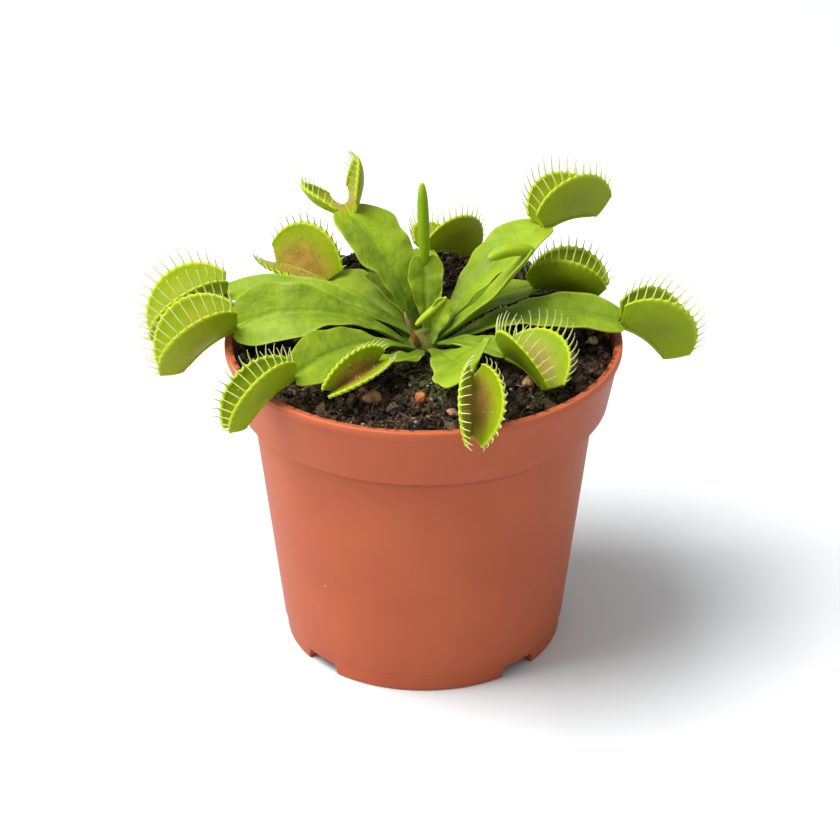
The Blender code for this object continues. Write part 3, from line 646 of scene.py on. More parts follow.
def blade_material(look):
    """Leaf blade: a smooth waxy skin over soft flesh that lets some light through.

    The flesh gives the inner glow, and the wax a satin shine. Pale patches of painted sheen lie over the
    green, which drifts in patches about 7 mm across. The fine veins are 0.7 mm apart, about twice their
    real spacing so that they show. mask's shares are the rim and midrib, the root, darkened as painted
    shade at the leaf's base, and the tone: how yellow the green is, with painted shade towards the crown
    and along the midrib and painted light towards the neck.
    """
    made, tree, place = new_material(
        "living_leaf_waxy_skin", IOR=1.42, Subsurface_Weight=0.3, Subsurface_Scale=0.0008,
        Subsurface_Radius=(0.8, 1.0, 0.1), Specular_IOR_Level=0.2)
    mask = add_node(tree, "ShaderNodeAttribute", {}, "Color", attribute_name="mask")
    rim, root, tone = (add_node(tree, "ShaderNodeSeparateColor", {0: mask}, part) for part in range(3))
    patches = add_node(tree, "ShaderNodeTexNoise", {"Vector": place, "Scale": 150.0, "Detail": 3.0})
    drift = add_node(tree, "ShaderNodeMapRange", {0: patches, 1: 0.34, 2: 0.66, 3: -0.2, 4: 0.2},
                     interpolation_type="SMOOTHSTEP")
    # tone carries painted shade towards the crown and along the midrib, and painted light towards the neck.
    level = add_node(tree, "ShaderNodeMath", {0: drift, 1: tone}, operation="ADD", use_clamp=True)
    cloud = add_node(tree, "ShaderNodeTexNoise", {
        "Vector": place, "Scale": 130.0, "Detail": 5.0, "Roughness": 0.65})
    flow = add_node(tree, "ShaderNodeAttribute", {}, "Vector", attribute_name="flow")
    stretched = add_node(tree, "ShaderNodeVectorMath", {0: flow, 1: (0.06, 1.0, 1.0)}, operation="MULTIPLY")
    strands = add_node(tree, "ShaderNodeTexNoise", {"Vector": stretched, "Scale": 1.5, "Detail": 2.0})
    blade_sheen, veins = (
        add_node(tree, "ShaderNodeMapRange", {0: pattern, 1: 0.5, 2: 0.7, 4: most},
                 interpolation_type="SMOOTHSTEP") for pattern, most in ((cloud, 0.25), (strands, 0.2)))
    cells, lumps = (add_node(tree, "ShaderNodeTexNoise", {"Vector": place, "Scale": scale, "Detail": 2.0})
                    for scale in (2400.0, 240.0))
    shine = add_node(tree, "ShaderNodeMapRange", {0: cloud, 1: 0.35, 2: 0.7, 3: 0.4, 4: 0.55})
    # blade_sheen lays pale patches of painted sheen over the green.
    return finish_material(
        made, look.deep_green,
        [(level, look.light_green), (blade_sheen, linear(PAINTED_BLADE_SHEEN)), (veins, look.rim_green),
         (rim, look.rim_green), (root, look.root_green)],
        [(0.15, 0.0002, cells), (0.14, 0.0005, strands), (0.5, 0.0016, lumps)], shine)


def trap_material(look):
    """Trap lobes: thinner and more see-through than the blade, with a lime rim and glands inside.

    mask's shares are the rim band, the inside's blush and a patch of painted sheen in the middle of the
    outside. flow's third number is the leaf's tone: how yellow it is, and on a leaf in shade painted light.
    The glands are dots 0.4 mm apart, which the eye sees as grain.
    """
    made, tree, place = new_material(
        "living_trap_glandular_skin", Roughness=0.45, IOR=1.42, Subsurface_Weight=0.45,
        Subsurface_Scale=0.0014, Subsurface_Radius=(0.8, 1.0, 0.1), Specular_IOR_Level=0.2)
    mask = add_node(tree, "ShaderNodeAttribute", {}, "Color", attribute_name="mask")
    rim, blush, lobe_sheen = (add_node(tree, "ShaderNodeSeparateColor", {0: mask}, part) for part in range(3))
    cloud = add_node(tree, "ShaderNodeTexNoise", {
        "Vector": place, "Scale": 300.0, "Detail": 4.0, "Roughness": 0.6})
    flow = add_node(tree, "ShaderNodeAttribute", {}, "Vector", attribute_name="flow")
    tone = add_node(tree, "ShaderNodeSeparateXYZ", {0: flow}, 2)
    drift = add_node(tree, "ShaderNodeMapRange", {0: cloud, 1: 0.3, 2: 0.7, 3: -0.3, 4: 0.3})
    yellow = add_node(tree, "ShaderNodeMath", {0: tone, 1: drift}, operation="ADD", use_clamp=True)
    cells = add_node(tree, "ShaderNodeTexVoronoi", {"Vector": place, "Scale": 2500.0}, "Distance")
    gland = add_node(tree, "ShaderNodeMapRange", {0: cells, 1: 0.15, 2: 0.45, 3: 0.8, 4: 0.0})
    inside = look.blush
    level = add_node(tree, "ShaderNodeMapRange", {0: cloud, 1: 0.35, 2: 0.65},
                     interpolation_type="SMOOTHSTEP")
    for share, over in ((level, look.blush_light), (gland, linear(GLAND_RED))):
        inside = add_node(tree, "ShaderNodeMix", {0: share, 6: inside, 7: over}, 2, data_type="RGBA")
    patchy = add_node(tree, "ShaderNodeMapRange", {0: cloud, 1: 0.2, 2: 0.7, 3: 0.75, 4: 1.0})
    strength = add_node(tree, "ShaderNodeMath", {0: blush, 1: patchy}, operation="MULTIPLY")
    # lobe_sheen lays a patch of painted sheen on the middle of each lobe's outside.
    return finish_material(
        made, look.trap_green,
        [(yellow, look.trap_light), (lobe_sheen, linear(PAINTED_LOBE_SHEEN)), (strength, inside), (rim, look.trap_rim)],
        [(0.2, 0.0002, gland), (0.3, 0.0006, cloud)])


def bristle_material(look):
    """Bristles: stiff, horny and half clear, lime at the foot and straw at the tip, with a fine grain."""
    made, tree, place = new_material(
        "living_bristle_horny", Roughness=0.38, IOR=1.45, Subsurface_Weight=0.3, Subsurface_Scale=0.0006,
        Subsurface_Radius=(0.8, 1.0, 0.3))
    mask = add_node(tree, "ShaderNodeAttribute", {}, "Color", attribute_name="mask")
    tip = add_node(tree, "ShaderNodeSeparateColor", {0: mask}, 0)
    grain = add_node(tree, "ShaderNodeTexNoise", {"Vector": place, "Scale": 3000.0, "Detail": 1.0})
    return finish_material(made, look.bristle_foot, [(tip, look.bristle_tip)], [(0.2, 0.0001, grain)])


def crown_material(look):
    """Crown: the fleshy rhizome, matt and scaly, streaked olive and brown, and dark where peat soils it.

    mask's first share is how low a point is. The streaks are 1.1 mm apart and run upwards.
    """
    made, tree, place = new_material("living_rhizome_scaly", Roughness=0.7, IOR=1.4, Specular_IOR_Level=0.2)
    mask = add_node(tree, "ShaderNodeAttribute", {}, "Color", attribute_name="mask")
    low = add_node(tree, "ShaderNodeSeparateColor", {0: mask}, 0)
    tall = add_node(tree, "ShaderNodeVectorMath", {0: place, 1: (1.0, 1.0, 0.2)}, operation="MULTIPLY")
    streak = add_node(tree, "ShaderNodeTexNoise", {"Vector": tall, "Scale": 900.0, "Detail": 3.0})
    share = add_node(tree, "ShaderNodeMapRange", {0: streak, 1: 0.35, 2: 0.65})
    return finish_material(
        made, look.root_green, [(share, linear(SCALE_BROWN)), (low, linear(SOILED_SCALE))],
        [(0.5, 0.0005, streak)])


def dead_leaf_material(name, fresh, withered):
    """Dried leaf: papery and fibrous, matt, streaked dark along strands 0.4 mm apart.

    mask's first share runs from the fresh end to the withered one.
    """
    made, tree, place = new_material(name, Roughness=0.75, IOR=1.4)
    mask = add_node(tree, "ShaderNodeAttribute", {}, "Color", attribute_name="mask")
    along = add_node(tree, "ShaderNodeSeparateColor", {0: mask}, 0)
    tall = add_node(tree, "ShaderNodeVectorMath", {0: place, 1: (1.0, 1.0, 0.15)}, operation="MULTIPLY")
    fibre = add_node(tree, "ShaderNodeTexNoise", {"Vector": tall, "Scale": 2500.0, "Detail": 3.0})
    share = add_node(tree, "ShaderNodeMapRange", {0: fibre, 1: 0.4, 2: 0.62, 4: 0.6})
    return finish_material(made, linear(fresh), [(along, linear(withered)), (share, linear(DEAD_STRAND))],
                           [(0.6, 0.0003, fibre)])


def peat_material(look):
    """Sphagnum peat: crumbly, nearly black where moist and brown where dry, with a film of moss.

    mask's shares are how dry a crumb is, how mossy, and how pale, for grit. Clods are 2.4 mm across.
    """
    made, tree, place = new_material("moist_sphagnum_peat", IOR=1.4, Specular_IOR_Level=0.35)
    mask = add_node(tree, "ShaderNodeAttribute", {}, "Color", attribute_name="mask")
    dry, moss, pale = (add_node(tree, "ShaderNodeSeparateColor", {0: mask}, part) for part in range(3))
    clods = add_node(tree, "ShaderNodeTexNoise", {
        "Vector": place, "Scale": 420.0, "Detail": 6.0, "Roughness": 0.7})
    shift = add_node(tree, "ShaderNodeMapRange", {0: clods, 1: 0.36, 2: 0.68, 3: -0.45, 4: 0.4})
    level = add_node(tree, "ShaderNodeMath", {0: shift, 1: dry}, operation="ADD", use_clamp=True)
    grain = add_node(tree, "ShaderNodeTexNoise", {"Vector": place, "Scale": 1900.0, "Detail": 4.0})
    damp = add_node(tree, "ShaderNodeMapRange", {0: clods, 1: 0.4, 2: 0.6, 3: 0.55, 4: 0.95})
    return finish_material(made, look.moist, [(level, look.dry), (moss, look.moss), (pale, look.grit)],
                           [(0.7, 0.0005, grain), (0.8, 0.0015, clods)], damp)


def pebble_material(name, light, dark):
    """Weathered gravel: dry, matt and grainy, stained darker in its hollows."""
    made, tree, place = new_material("gravel_" + name.removeprefix("stone_"), Roughness=0.65, IOR=1.5)
    stain = add_node(tree, "ShaderNodeTexNoise", {
        "Vector": place, "Scale": 800.0, "Detail": 6.0, "Roughness": 0.65})
    share = add_node(tree, "ShaderNodeMapRange", {0: stain, 1: 0.38, 2: 0.62})
    grit = add_node(tree, "ShaderNodeTexVoronoi", {"Vector": place, "Scale": 2300.0}, "Distance")
    pits = add_node(tree, "ShaderNodeMapRange", {0: grit, 1: 0.0, 2: 0.25, 3: 0.4, 4: 0.0})
    return finish_material(made, linear(dark), [(share, linear(light)), (pits, linear(PIT_BROWN))],
                           [(0.6, 0.0004, stain)])


def pot_material(look):
    """Injection-moulded polypropylene coloured like terracotta: satin, faintly cloudy and a little waxy.

    Moulding leaves a grain about 0.8 mm across and slow waves in the wall. Handling leaves pale scuffs, and
    potting leaves specks of peat. mask's shares are the lip's edge, lighter both as worn plastic and as a
    painted highlight, where the peat soils it, and a band of painted shade under the collar.
    """
    made, tree, place = new_material(
        "moulded_polypropylene_terracotta", IOR=1.49, Subsurface_Weight=0.05, Subsurface_Scale=0.0012,
        Subsurface_Radius=(1.0, 0.35, 0.2), Specular_IOR_Level=0.22)
    mask = add_node(tree, "ShaderNodeAttribute", {}, "Color", attribute_name="mask")
    edge, dirt, collar_shade = (add_node(tree, "ShaderNodeSeparateColor", {0: mask}, part) for part in range(3))
    cloud = add_node(tree, "ShaderNodeTexNoise", {"Vector": place, "Scale": 45.0, "Detail": 3.0})
    level = add_node(tree, "ShaderNodeMapRange", {0: cloud, 1: 0.35, 2: 0.65})
    dots, chips = (add_node(tree, "ShaderNodeTexVoronoi", {"Vector": place, "Scale": scale}, "Distance")
                   for scale in (120.0, 90.0))
    specks = add_node(tree, "ShaderNodeMapRange", {0: dots, 1: 0.018, 2: 0.03, 3: look.marks, 4: 0.0})
    pale = add_node(tree, "ShaderNodeMapRange", {0: chips, 1: 0.014, 2: 0.022, 3: look.marks, 4: 0.0})
    smear, grain, drift = (
        add_node(tree, "ShaderNodeTexNoise", {"Vector": place, "Scale": scale, "Detail": detail})
        for scale, detail in ((700.0, 5.0), (1200.0, 2.0), (90.0, 1.0)))
    smear = add_node(tree, "ShaderNodeMapRange", {0: smear, 1: 0.48, 2: 0.6})
    soiled = add_node(tree, "ShaderNodeMath", {0: dirt, 1: smear}, operation="MULTIPLY")
    shine = add_node(tree, "ShaderNodeMapRange", {0: cloud, 1: 0.3, 2: 0.7, 3: 0.45, 4: 0.56})
    # edge lays a painted highlight on the worn lip, and collar_shade a band of painted shade under the
    # collar.
    return finish_material(
        made, look.clay,
        [(level, look.clay_light), (edge, look.edge), (specks, linear(SPECK_BROWN)),
         (pale, linear(SCUFF_PALE)), (soiled, linear(SMEAR_BROWN)), (collar_shade, linear(COLLAR_SHADE_BROWN))],
        [(0.1, 0.0003, grain), (0.1, 0.001, drift)], shine)


def floor_material(colour):
    """A pale painted studio floor: matt, with a tooth too fine to see that takes off any sheen."""
    made, tree, place = new_material("matt_studio_paint", Roughness=0.9, IOR=1.45, Specular_IOR_Level=0.1,
                                     Base_Color=(*colour, 1))
    tooth = add_node(tree, "ShaderNodeTexNoise", {"Vector": place, "Scale": 900.0})
    return finish_material(made, None, [], [(0.05, 0.0003, tooth)])


# ---------------------------------------------------------------------------------------------------------
# The pieces
# ---------------------------------------------------------------------------------------------------------


def rounded_outline(corners, steps=5):
    """Corners (across, up, rounding) as a smooth run of points: each corner is a short quadratic curve.

    The curve starts and ends its rounding away from the corner, on the lines to its neighbours.
    """
    points = np.array([corner[:2] for corner in corners], float)
    runs = []
    for i, (_, _, rounding) in enumerate(corners):
        if not rounding:
            runs.append(points[i:i + 1])
            continue
        share = np.linspace(0, 1, steps)[:, None]
        start = points[i] + rounding * unit(points[i - 1] - points[i])
        end = points[i] + rounding * unit(points[i + 1] - points[i])
        runs.append((1 - share) ** 2 * start + 2 * share * (1 - share) * points[i] + share**2 * end)
    return np.concatenate(runs)


def notch_height(angle):
    """How far the foot ring is cut away at each angle: flat in a notch's middle, sloping to its sides."""
    turn = 2 * math.pi / NOTCHES
    away = (angle - math.radians(FIRST_NOTCH) + turn / 2) % turn - turn / 2
    low, high = NOTCH_HALVES
    return NOTCH_HEIGHT * np.clip((high - np.abs(away) * NOTCH_RING) / (high - low), 0, 1)


def make_pot(look):
    """The pot's section turned about its axis, with the foot ring raised to the notches' height.

    The wall has more columns of points at the notches' sides, and the drains are cut out with tubes.
    """
    outline = rounded_outline(POT_CORNERS)
    edges = np.linspace(NOTCH_HALVES[0] - 0.5, NOTCH_HALVES[1] + 0.5, 12) / NOTCH_RING
    middles = math.radians(FIRST_NOTCH) + np.arange(NOTCHES)[:, None] * 2 * math.pi / NOTCHES
    fine = (middles + np.concatenate([-edges, edges])) % (2 * math.pi)
    even = np.linspace(0, 2 * math.pi, POT_SIDES, endpoint=False)
    angle = np.unique(np.concatenate([even, fine.ravel()]))
    radius, height = outline[:, :1], outline[:, 1:]
    lifted = np.where(height < NOTCH_HEIGHT, np.maximum(height, notch_height(angle)), height)
    points = np.stack([radius * np.cos(angle), radius * np.sin(angle), lifted], -1)
    rows, columns = points.shape[:2]
    # The lip's edge is lighter along its outer top corner: worn plastic and a painted highlight.
    lip = np.exp(-((np.hypot(radius - WORN_LIP_HIGHLIGHT[0], height - WORN_LIP_HIGHLIGHT[1]) / 0.7) ** 2))
    inner = smooth(70, 74, height) * (radius < 44)
    # A band of painted shade on the wall just under the collar's step, where its overhang shades the wall.
    collar_shade_band = np.exp(-(((height - COLLAR_CREASE) / 0.8) ** 2)) * (radius > 38.9) * (radius < 39.6)
    mask = shares(rows, columns, 0.55 * lip, 0.9 * inner + 0.04 * smooth(73, 74.4, height), collar_shade_band)
    body = patch(points, [grid_quads(rows, columns, closed=True)[:, ::-1]], 0, mask.reshape(-1, 3))
    pot = lay_mesh("pot_moulded", [body], [pot_material(look)])
    close_up(pot, 0.004)
    cutters = []
    for i in range(NOTCHES):
        turn = math.radians(FIRST_NOTCH) + i * 2 * math.pi / NOTCHES
        x, y = DRAIN_RING * math.cos(turn), DRAIN_RING * math.sin(turn)
        path = [[(x, y, height) for height in DRAIN_CUT]]
        cutters.append(tubes(path, np.full((1, len(DRAIN_CUT)), DRAIN_RADIUS), DRAIN_SIDES))
    drains = lay_mesh("drain_cutter", cutters, [])
    cut = pot.modifiers.new("drains", "BOOLEAN")
    cut.object = drains
    cut.solver = "EXACT"
    bake(pot)
    bpy.data.objects.remove(drains, do_unlink=True)
    pot.data.set_sharp_from_angle(angle=math.radians(SHARP_EDGE))
    belongs(pot, "pot")


def close_up(piece, distance):
    """Merges a mesh's points that are nearer than distance in millimetres, and drops faces with no area."""
    mesh = bmesh.new()
    mesh.from_mesh(piece.data)
    bmesh.ops.remove_doubles(mesh, verts=mesh.verts[:], dist=distance * MM)
    bmesh.ops.dissolve_degenerate(mesh, edges=mesh.edges[:], dist=distance * MM)
    mesh.to_mesh(piece.data)
    mesh.free()


def bake(piece):
    """Gives a piece the mesh that its modifiers make, and removes them."""
    bpy.context.view_layer.update()
    graph = bpy.context.evaluated_depsgraph_get()
    mesh = bpy.data.meshes.new_from_object(piece.evaluated_get(graph))
    piece.modifiers.clear()
    piece.data = mesh


def make_soil(look):
    """The peat bed: a square grid bent to a disc, raised by the soil's formula and by finer lumps.

    A square's point (a, b) goes to (a sqrt(1 - b²/2), b sqrt(1 - a²/2)), so its cells stay alike. The edge
    carries on down the inside of the pot and is closed below.
    """
    side = np.linspace(-1, 1, SOIL_GRID)
    a, b = np.meshgrid(side, side, indexing="ij")
    x = SOIL_EDGE * a * np.sqrt(1 - b**2 / 2)
    y = SOIL_EDGE * b * np.sqrt(1 - a**2 / 2)
    flat = np.stack([x, y], -1)
    fine = 0.42 * waves(flat, 5.0, 1) + 0.26 * waves(flat, 2.3, 2) + 0.16 * waves(flat, 1.3, 3)
    points = np.stack([x, y, soil_height(x, y) + fine * look.lumps / MM], -1)
    count, border = side.size**2, border_of(side.size, side.size)
    edge = points.reshape(-1, 3)[border]
    rings = [np.column_stack([edge[:, :2] * radius / SOIL_EDGE, np.full(len(edge), height)])
             for radius, height in SOIL_SKIRT]
    below = len(border) * len(SOIL_SKIRT)
    index = np.concatenate([border, count + np.arange(below)]).reshape(-1, len(border))
    skirt = index.ravel()[grid_quads(len(index), len(border), closed=True)]
    base = index[-1][None, ::-1]
    dry = 0.35 + 0.25 * waves(flat, 9.0, 4)
    moss = moss_share(x, y) * smooth(-0.3, 0.8, waves(flat, 2.5, 5))
    mask = np.concatenate([np.stack([dry, 0.8 * moss, 0 * moss], -1).reshape(-1, 3),
                           np.tile([0.2, 0.0, 0.0], (below, 1))])
    whole = np.concatenate([points.reshape(-1, 3), *rings])
    bed = lay_mesh("peat_bed", [patch(whole, [grid_quads(side.size, side.size), skirt, base], 0, mask)],
                   [peat_material(look)])
    belongs(bed, "soil")


def peat_places(count, seed, margin=1.0, inner=4.6):
    """Random places on the peat, evenly spread over the disc but for the crown, and their generator.

    A place's distance from the middle goes with the square root of an even draw.
    """
    rng = np.random.default_rng(seed)
    radius = (SOIL_EDGE - margin) * np.sqrt(rng.uniform(0, 1, count))
    angle = rng.uniform(0, 2 * math.pi, count)
    x, y = radius * np.cos(angle), radius * np.sin(angle)
    clear = np.hypot(x - CROWN_CENTRE[0], y - CROWN_CENTRE[1]) > inner
    return x[clear], y[clear], rng


def make_crumbs(look):
    """Loose peat: rough grains half sunk in the bed, pale grit, fines on top, and a heap behind.

    The heap's clods lie against the pot's back wall, and those past the start of the lip lie on it.
    """
    x, y, rng = peat_places(look.crumbs, 11)
    size = np.clip(rng.lognormal(math.log(look.crumb_size / MM), 0.55, x.size), 0.4, 3.0)
    sizes = size[:, None] * rng.uniform(0.6, 1.3, (x.size, 3))
    places = np.column_stack([x, y, soil_height(x, y) + 0.28 * size - 0.1])
    moss = moss_share(x, y) * rng.uniform(0.2, 0.6, x.size)
    masks = np.column_stack([rng.beta(1.0, 1.9, x.size), moss * (rng.uniform(size=x.size) < 0.5), 0 * x])
    grit_x, grit_y, rng = peat_places(120, 12)
    near_x, near_y = rng.normal(0, 8.0, 70), rng.normal(-15, 7.0, 70)
    grit_x, grit_y = np.append(grit_x, near_x), np.append(grit_y, near_y)
    grain = rng.uniform(0.35, 1.3, grit_x.size)
    grit = np.column_stack([grit_x, grit_y, soil_height(grit_x, grit_y) + 0.55 + 0.3 * grain])
    grit_masks = np.column_stack([0 * grain, 0 * grain, rng.uniform(0.2, 0.85, grain.size)])
    crumbs = lay_mesh("peat_crumbs", [
        scatter(places, sizes, 0.42, 21, 0, masks),
        scatter(grit, grain[:, None] * rng.uniform(0.7, 1.2, (grain.size, 3)), 0.25, 22, 0, grit_masks),
    ], [peat_material(look)], smooth_shading=False)
    belongs(crumbs, "soil")
    x, y, rng = peat_places(look.fines, 14)
    size = rng.uniform(0.35, 1.0, x.size)
    places = np.column_stack([x, y, soil_height(x, y) + 0.45 + 0.3 * size])
    dry = rng.beta(1.3, 1.6, x.size)
    masks = np.column_stack([dry, moss_share(x, y) * rng.uniform(0.3, 1, x.size), 0 * x])
    fines = scatter(places, size[:, None] * rng.uniform(0.6, 1.4, (x.size, 3)), 0.3, 23, 0, masks)
    heading = np.radians(rng.uniform(*HEAP_HEADINGS, look.heap))
    reach = rng.uniform(*HEAP_REACH, look.heap)
    size = rng.uniform(1.0, 2.6, look.heap)
    top = SOIL_LEVEL + SOIL_BANK * np.sin(heading) + rng.uniform(-0.2, 1.6, look.heap)
    top = np.where(reach > LIP_START, RIM_TOP + 0.35 * size, top)
    places = np.column_stack([reach * np.cos(heading), reach * np.sin(heading), top])
    masks = np.column_stack([rng.beta(1.0, 1.9, look.heap), 0 * size, 0 * size])
    heap = scatter(places, size[:, None] * rng.uniform(0.6, 1.2, (look.heap, 3)), 0.3, 24, 0, masks)
    loose = lay_mesh("peat_fines", [fines, heap], [peat_material(look)], smooth_shading=False)
    belongs(loose, "soil")


def make_fibres(look):
    """Root and sphagnum fibres: thin tubes over the peat, a straight run with two sine waves of sway."""
    x, y, rng = peat_places(look.fibres, 13, margin=5.0, inner=8.0)
    steps, sides = FIBRE_GRID
    many, share = x.size, np.linspace(0, 1, steps)
    length, heading = rng.uniform(2.5, 9, many), rng.uniform(0, 2 * math.pi, many)
    run = (share - 0.5) * length[:, None]
    sway = rng.normal(0, 0.18, (many, 1)) * length[:, None] * np.sin(math.pi * share)
    sway += rng.normal(0, 0.08, (many, 1)) * length[:, None] * np.sin(2 * math.pi * share)
    px = x[:, None] + run * np.cos(heading)[:, None] - sway * np.sin(heading)[:, None]
    py = y[:, None] + run * np.sin(heading)[:, None] + sway * np.cos(heading)[:, None]
    arch = rng.uniform(0, 1.2, (many, 1)) * np.sin(math.pi * share)
    paths = np.stack([px, py, soil_height(px, py) + 0.5 + arch], -1)
    radii = rng.uniform(0.07, 0.2, (many, 1)) * (0.4 + 0.6 * np.sin(math.pi * np.clip(share, 0.08, 0.92)))
    tone = rng.uniform(0.5, 1.3, (many, 1))
    pale = (rng.uniform(size=(many, 1)) < 0.3) * 0.5
    fibres = tubes(paths, radii, sides, 0, shares(many, steps, tone, 0, pale))
    belongs(lay_mesh("peat_fibres", [fibres], [peat_material(look)]), "soil")


def make_pebbles():
    """Each pebble: a ball pushed in and out by seeded waves, then stretched to fill its node's box."""
    for seed, (name, colours) in enumerate(PEBBLES.items()):
        low, high = (np.array(corner) / MM - POT_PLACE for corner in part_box(name))
        points, faces, caps = ball(*PEBBLE_GRID)
        swell = 0.13 * waves(points, 1.6, seed) + 0.03 * waves(points, 0.5, seed + 9)
        bumped = points * (1 + swell)[:, None]
        least, most = bumped.min(0), bumped.max(0)
        placed = low + (bumped - least) / (most - least) * (high - low)
        stone = lay_mesh(name + "_weathered", [patch(placed, [faces, caps])],
                         [pebble_material(name, *colours)])
        belongs(stone, name)


def make_crown(look):
    """The crown, and what is left of an old leaf.

    The crown is a ball ribbed like overlapping leaf bases, with ribs that turn as they rise. The old leaf's
    parts are tubes along straight runs between their points, ridged by sine waves.
    """
    points, faces, caps = ball(*CROWN_GRID)
    heading = np.arctan2(points[:, 1], points[:, 0])
    ribs = 0.05 * np.abs(np.sin(3.5 * heading + 1.6 * points[:, 2])) - 0.05
    placed = CROWN_CENTRE + points * (CROWN_RADIUS * (1 + ribs))[:, None]
    mask = np.column_stack([1 - smooth(-0.2, 0.55, points[:, 2]), 0 * ribs, 0 * ribs])
    crown = lay_mesh("crown_bulb", [patch(placed, [faces, caps], 0, mask)], [crown_material(look)])
    belongs(crown, "crown")
    steps, sides = OLD_LEAF_GRID
    fine = smooth(0, 1, np.linspace(0, 1, steps)) * 0.3 + np.linspace(0, 1, steps) * 0.7
    angle = 2 * math.pi * np.arange(sides) / sides
    ridged = 1 + 0.14 * np.sin(3 * angle + 5 * fine[:, None]) + 0.06 * np.sin(7 * angle - 3)
    for name, (fresh, withered, *line) in OLD_LEAF.items():
        share = np.linspace(0, 1, len(line))
        *path, radius = (np.interp(fine, share, values) for values in zip(*line))
        mask = shares(1, steps, fine, 0, 0)
        tube = tubes([np.column_stack(path)], [radius[:, None] * ridged], sides, 0, mask)
        finish = dead_leaf_material("dried_leaf_" + name.removeprefix("old_leaf_"), fresh, withered)
        belongs(lay_mesh(name + "_dried", [tube], [finish]), name)


def blade_patch(leaf, look):
    """The blade as a closed sheet with a keel below its midrib and a shallow groove above.

    Keel, groove and midrib colour are bell curves of the distance across. The rows stand closer at the
    neck and the columns at the edges, where the outline bends most.
    """
    start, bend, _ = bend_of(leaf)
    sunk = (ROOT_GAP + ROOT_SUNK) / np.linalg.norm(2 * (bend - start))
    rows, columns = BLADE_GRID
    share = np.linspace(0, 1, rows)
    t = (-sunk + (BLADE_ROUND - 0.003 + sunk) * (1 - (1 - share) ** 1.35))[:, None]
    v = np.sin(math.pi / 2 * np.linspace(-1, 1, columns))
    points, across = blade_points(leaf, t, v)
    slim = look.thickness / MM / 2 * (1 - 0.5 * np.abs(v) ** 3)
    groove = 0.24 * np.exp(-((across / 0.6) ** 2)) * smooth(0.08, 0.3, t) * smooth(3, 8, leaf.width)
    keel = 0.85 * np.exp(-((across / 0.85) ** 2)) * (1 - 0.45 * np.clip(t, 0, 1))
    length = np.linalg.norm(np.array(leaf.neck) - start)
    rim = 0.85 * smooth(0.88, 1.0, np.abs(v)) * smooth(0.15, 0.4, t)
    midrib = 0.35 * np.exp(-((across / 0.5) ** 2)) * smooth(0.1, 0.3, t)
    # Painted shade: the tone falls towards the crown and in a band along the midrib's groove, and the root
    # share darkens the base. Painted light: the tone rises towards the neck.
    tone = leaf.tone + 0.3 * smooth(0.55, 1.0, t) - 0.3 * (1 - smooth(0, 0.5, t))
    tone = tone - 0.2 * np.exp(-((across / 1.3) ** 2))
    root = 0.8 * (1 - smooth(0.02, 0.22, t))
    over = shares(rows, columns, np.maximum(rim, midrib), root, tone)
    under = shares(rows, columns, 0.6 * rim + 0.3, root, tone)
    flow = shares(rows, columns, t * length, across, len(leaf.name))
    return leaf_sheet(points, slim - groove, slim + keel, 0, over, under, flow)


def trap_patches(leaf, look):
    """The lobes as one closed sheet with a thick rim, and the keel along their hinge.

    The keel is a tube along the blade's last stretch and the midrib.
    """
    trap, bristles = leaf.end, look.bristles
    rows, columns = TRAP_GRID
    u, w = np.linspace(-1, 1, rows)[:, None], np.linspace(-1, 1, columns)
    points = trap_points(leaf, u, w, bristles)
    out, side = np.abs(w), np.sign(w)
    ridge = 0.5 + 0.5 * np.cos(2 * math.pi * bristle_phase(u, side, bristles))
    slim = look.thickness / MM * (0.42 + 0.12 * smooth(0.9, 0.96, out) - 0.22 * smooth(0.96, 1.0, out))
    rise = 0.06 * ridge * smooth(0.78, 0.96, out)
    rim = 0.9 * smooth(0.9, 0.97, out) + 0.15 * ridge * smooth(0.8, 0.95, out)
    blush = trap.blush * (1 - smooth(0.25, 0.8, out)) * (1 - 0.6 * u**2)
    # A patch of painted sheen in the middle of each lobe's outside.
    lobe_sheen = 0.6 * np.exp(-(((out - 0.42) / 0.22) ** 2) - (u / 0.45) ** 2)
    inside = shares(rows, columns, np.clip(rim, 0, 1), blush, 0)
    outside = shares(rows, columns, np.clip(rim, 0, 1), 0.25 * trap.blush * (out < 0.3), lobe_sheen)
    flow = shares(rows, columns, u * trap.length / 2, w * trap.depth, leaf.tone)
    lobes = leaf_sheet(points, slim + 0.3 * rise, slim + rise, 1, inside, outside, flow)
    steps, sides = KEEL_GRID
    v = np.linspace(-1.0, 0.92, steps)
    stalk = centreline(leaf, np.array([0.93, 0.97]))[0] - [0, 0, 0.3]
    keel = np.concatenate([stalk, trap_points(leaf, v, 0 * v)])
    radii = np.interp(np.linspace(0, 1, len(keel)), [0, 0.08, 0.16, 0.9, 1], [0.3, 0.72, 0.66, 0.5, 0.2])
    return [lobes, tubes(keel[None], radii[None], sides, 1, (0.15, 0.0, 0.0)), *hair_patches(leaf, look)]


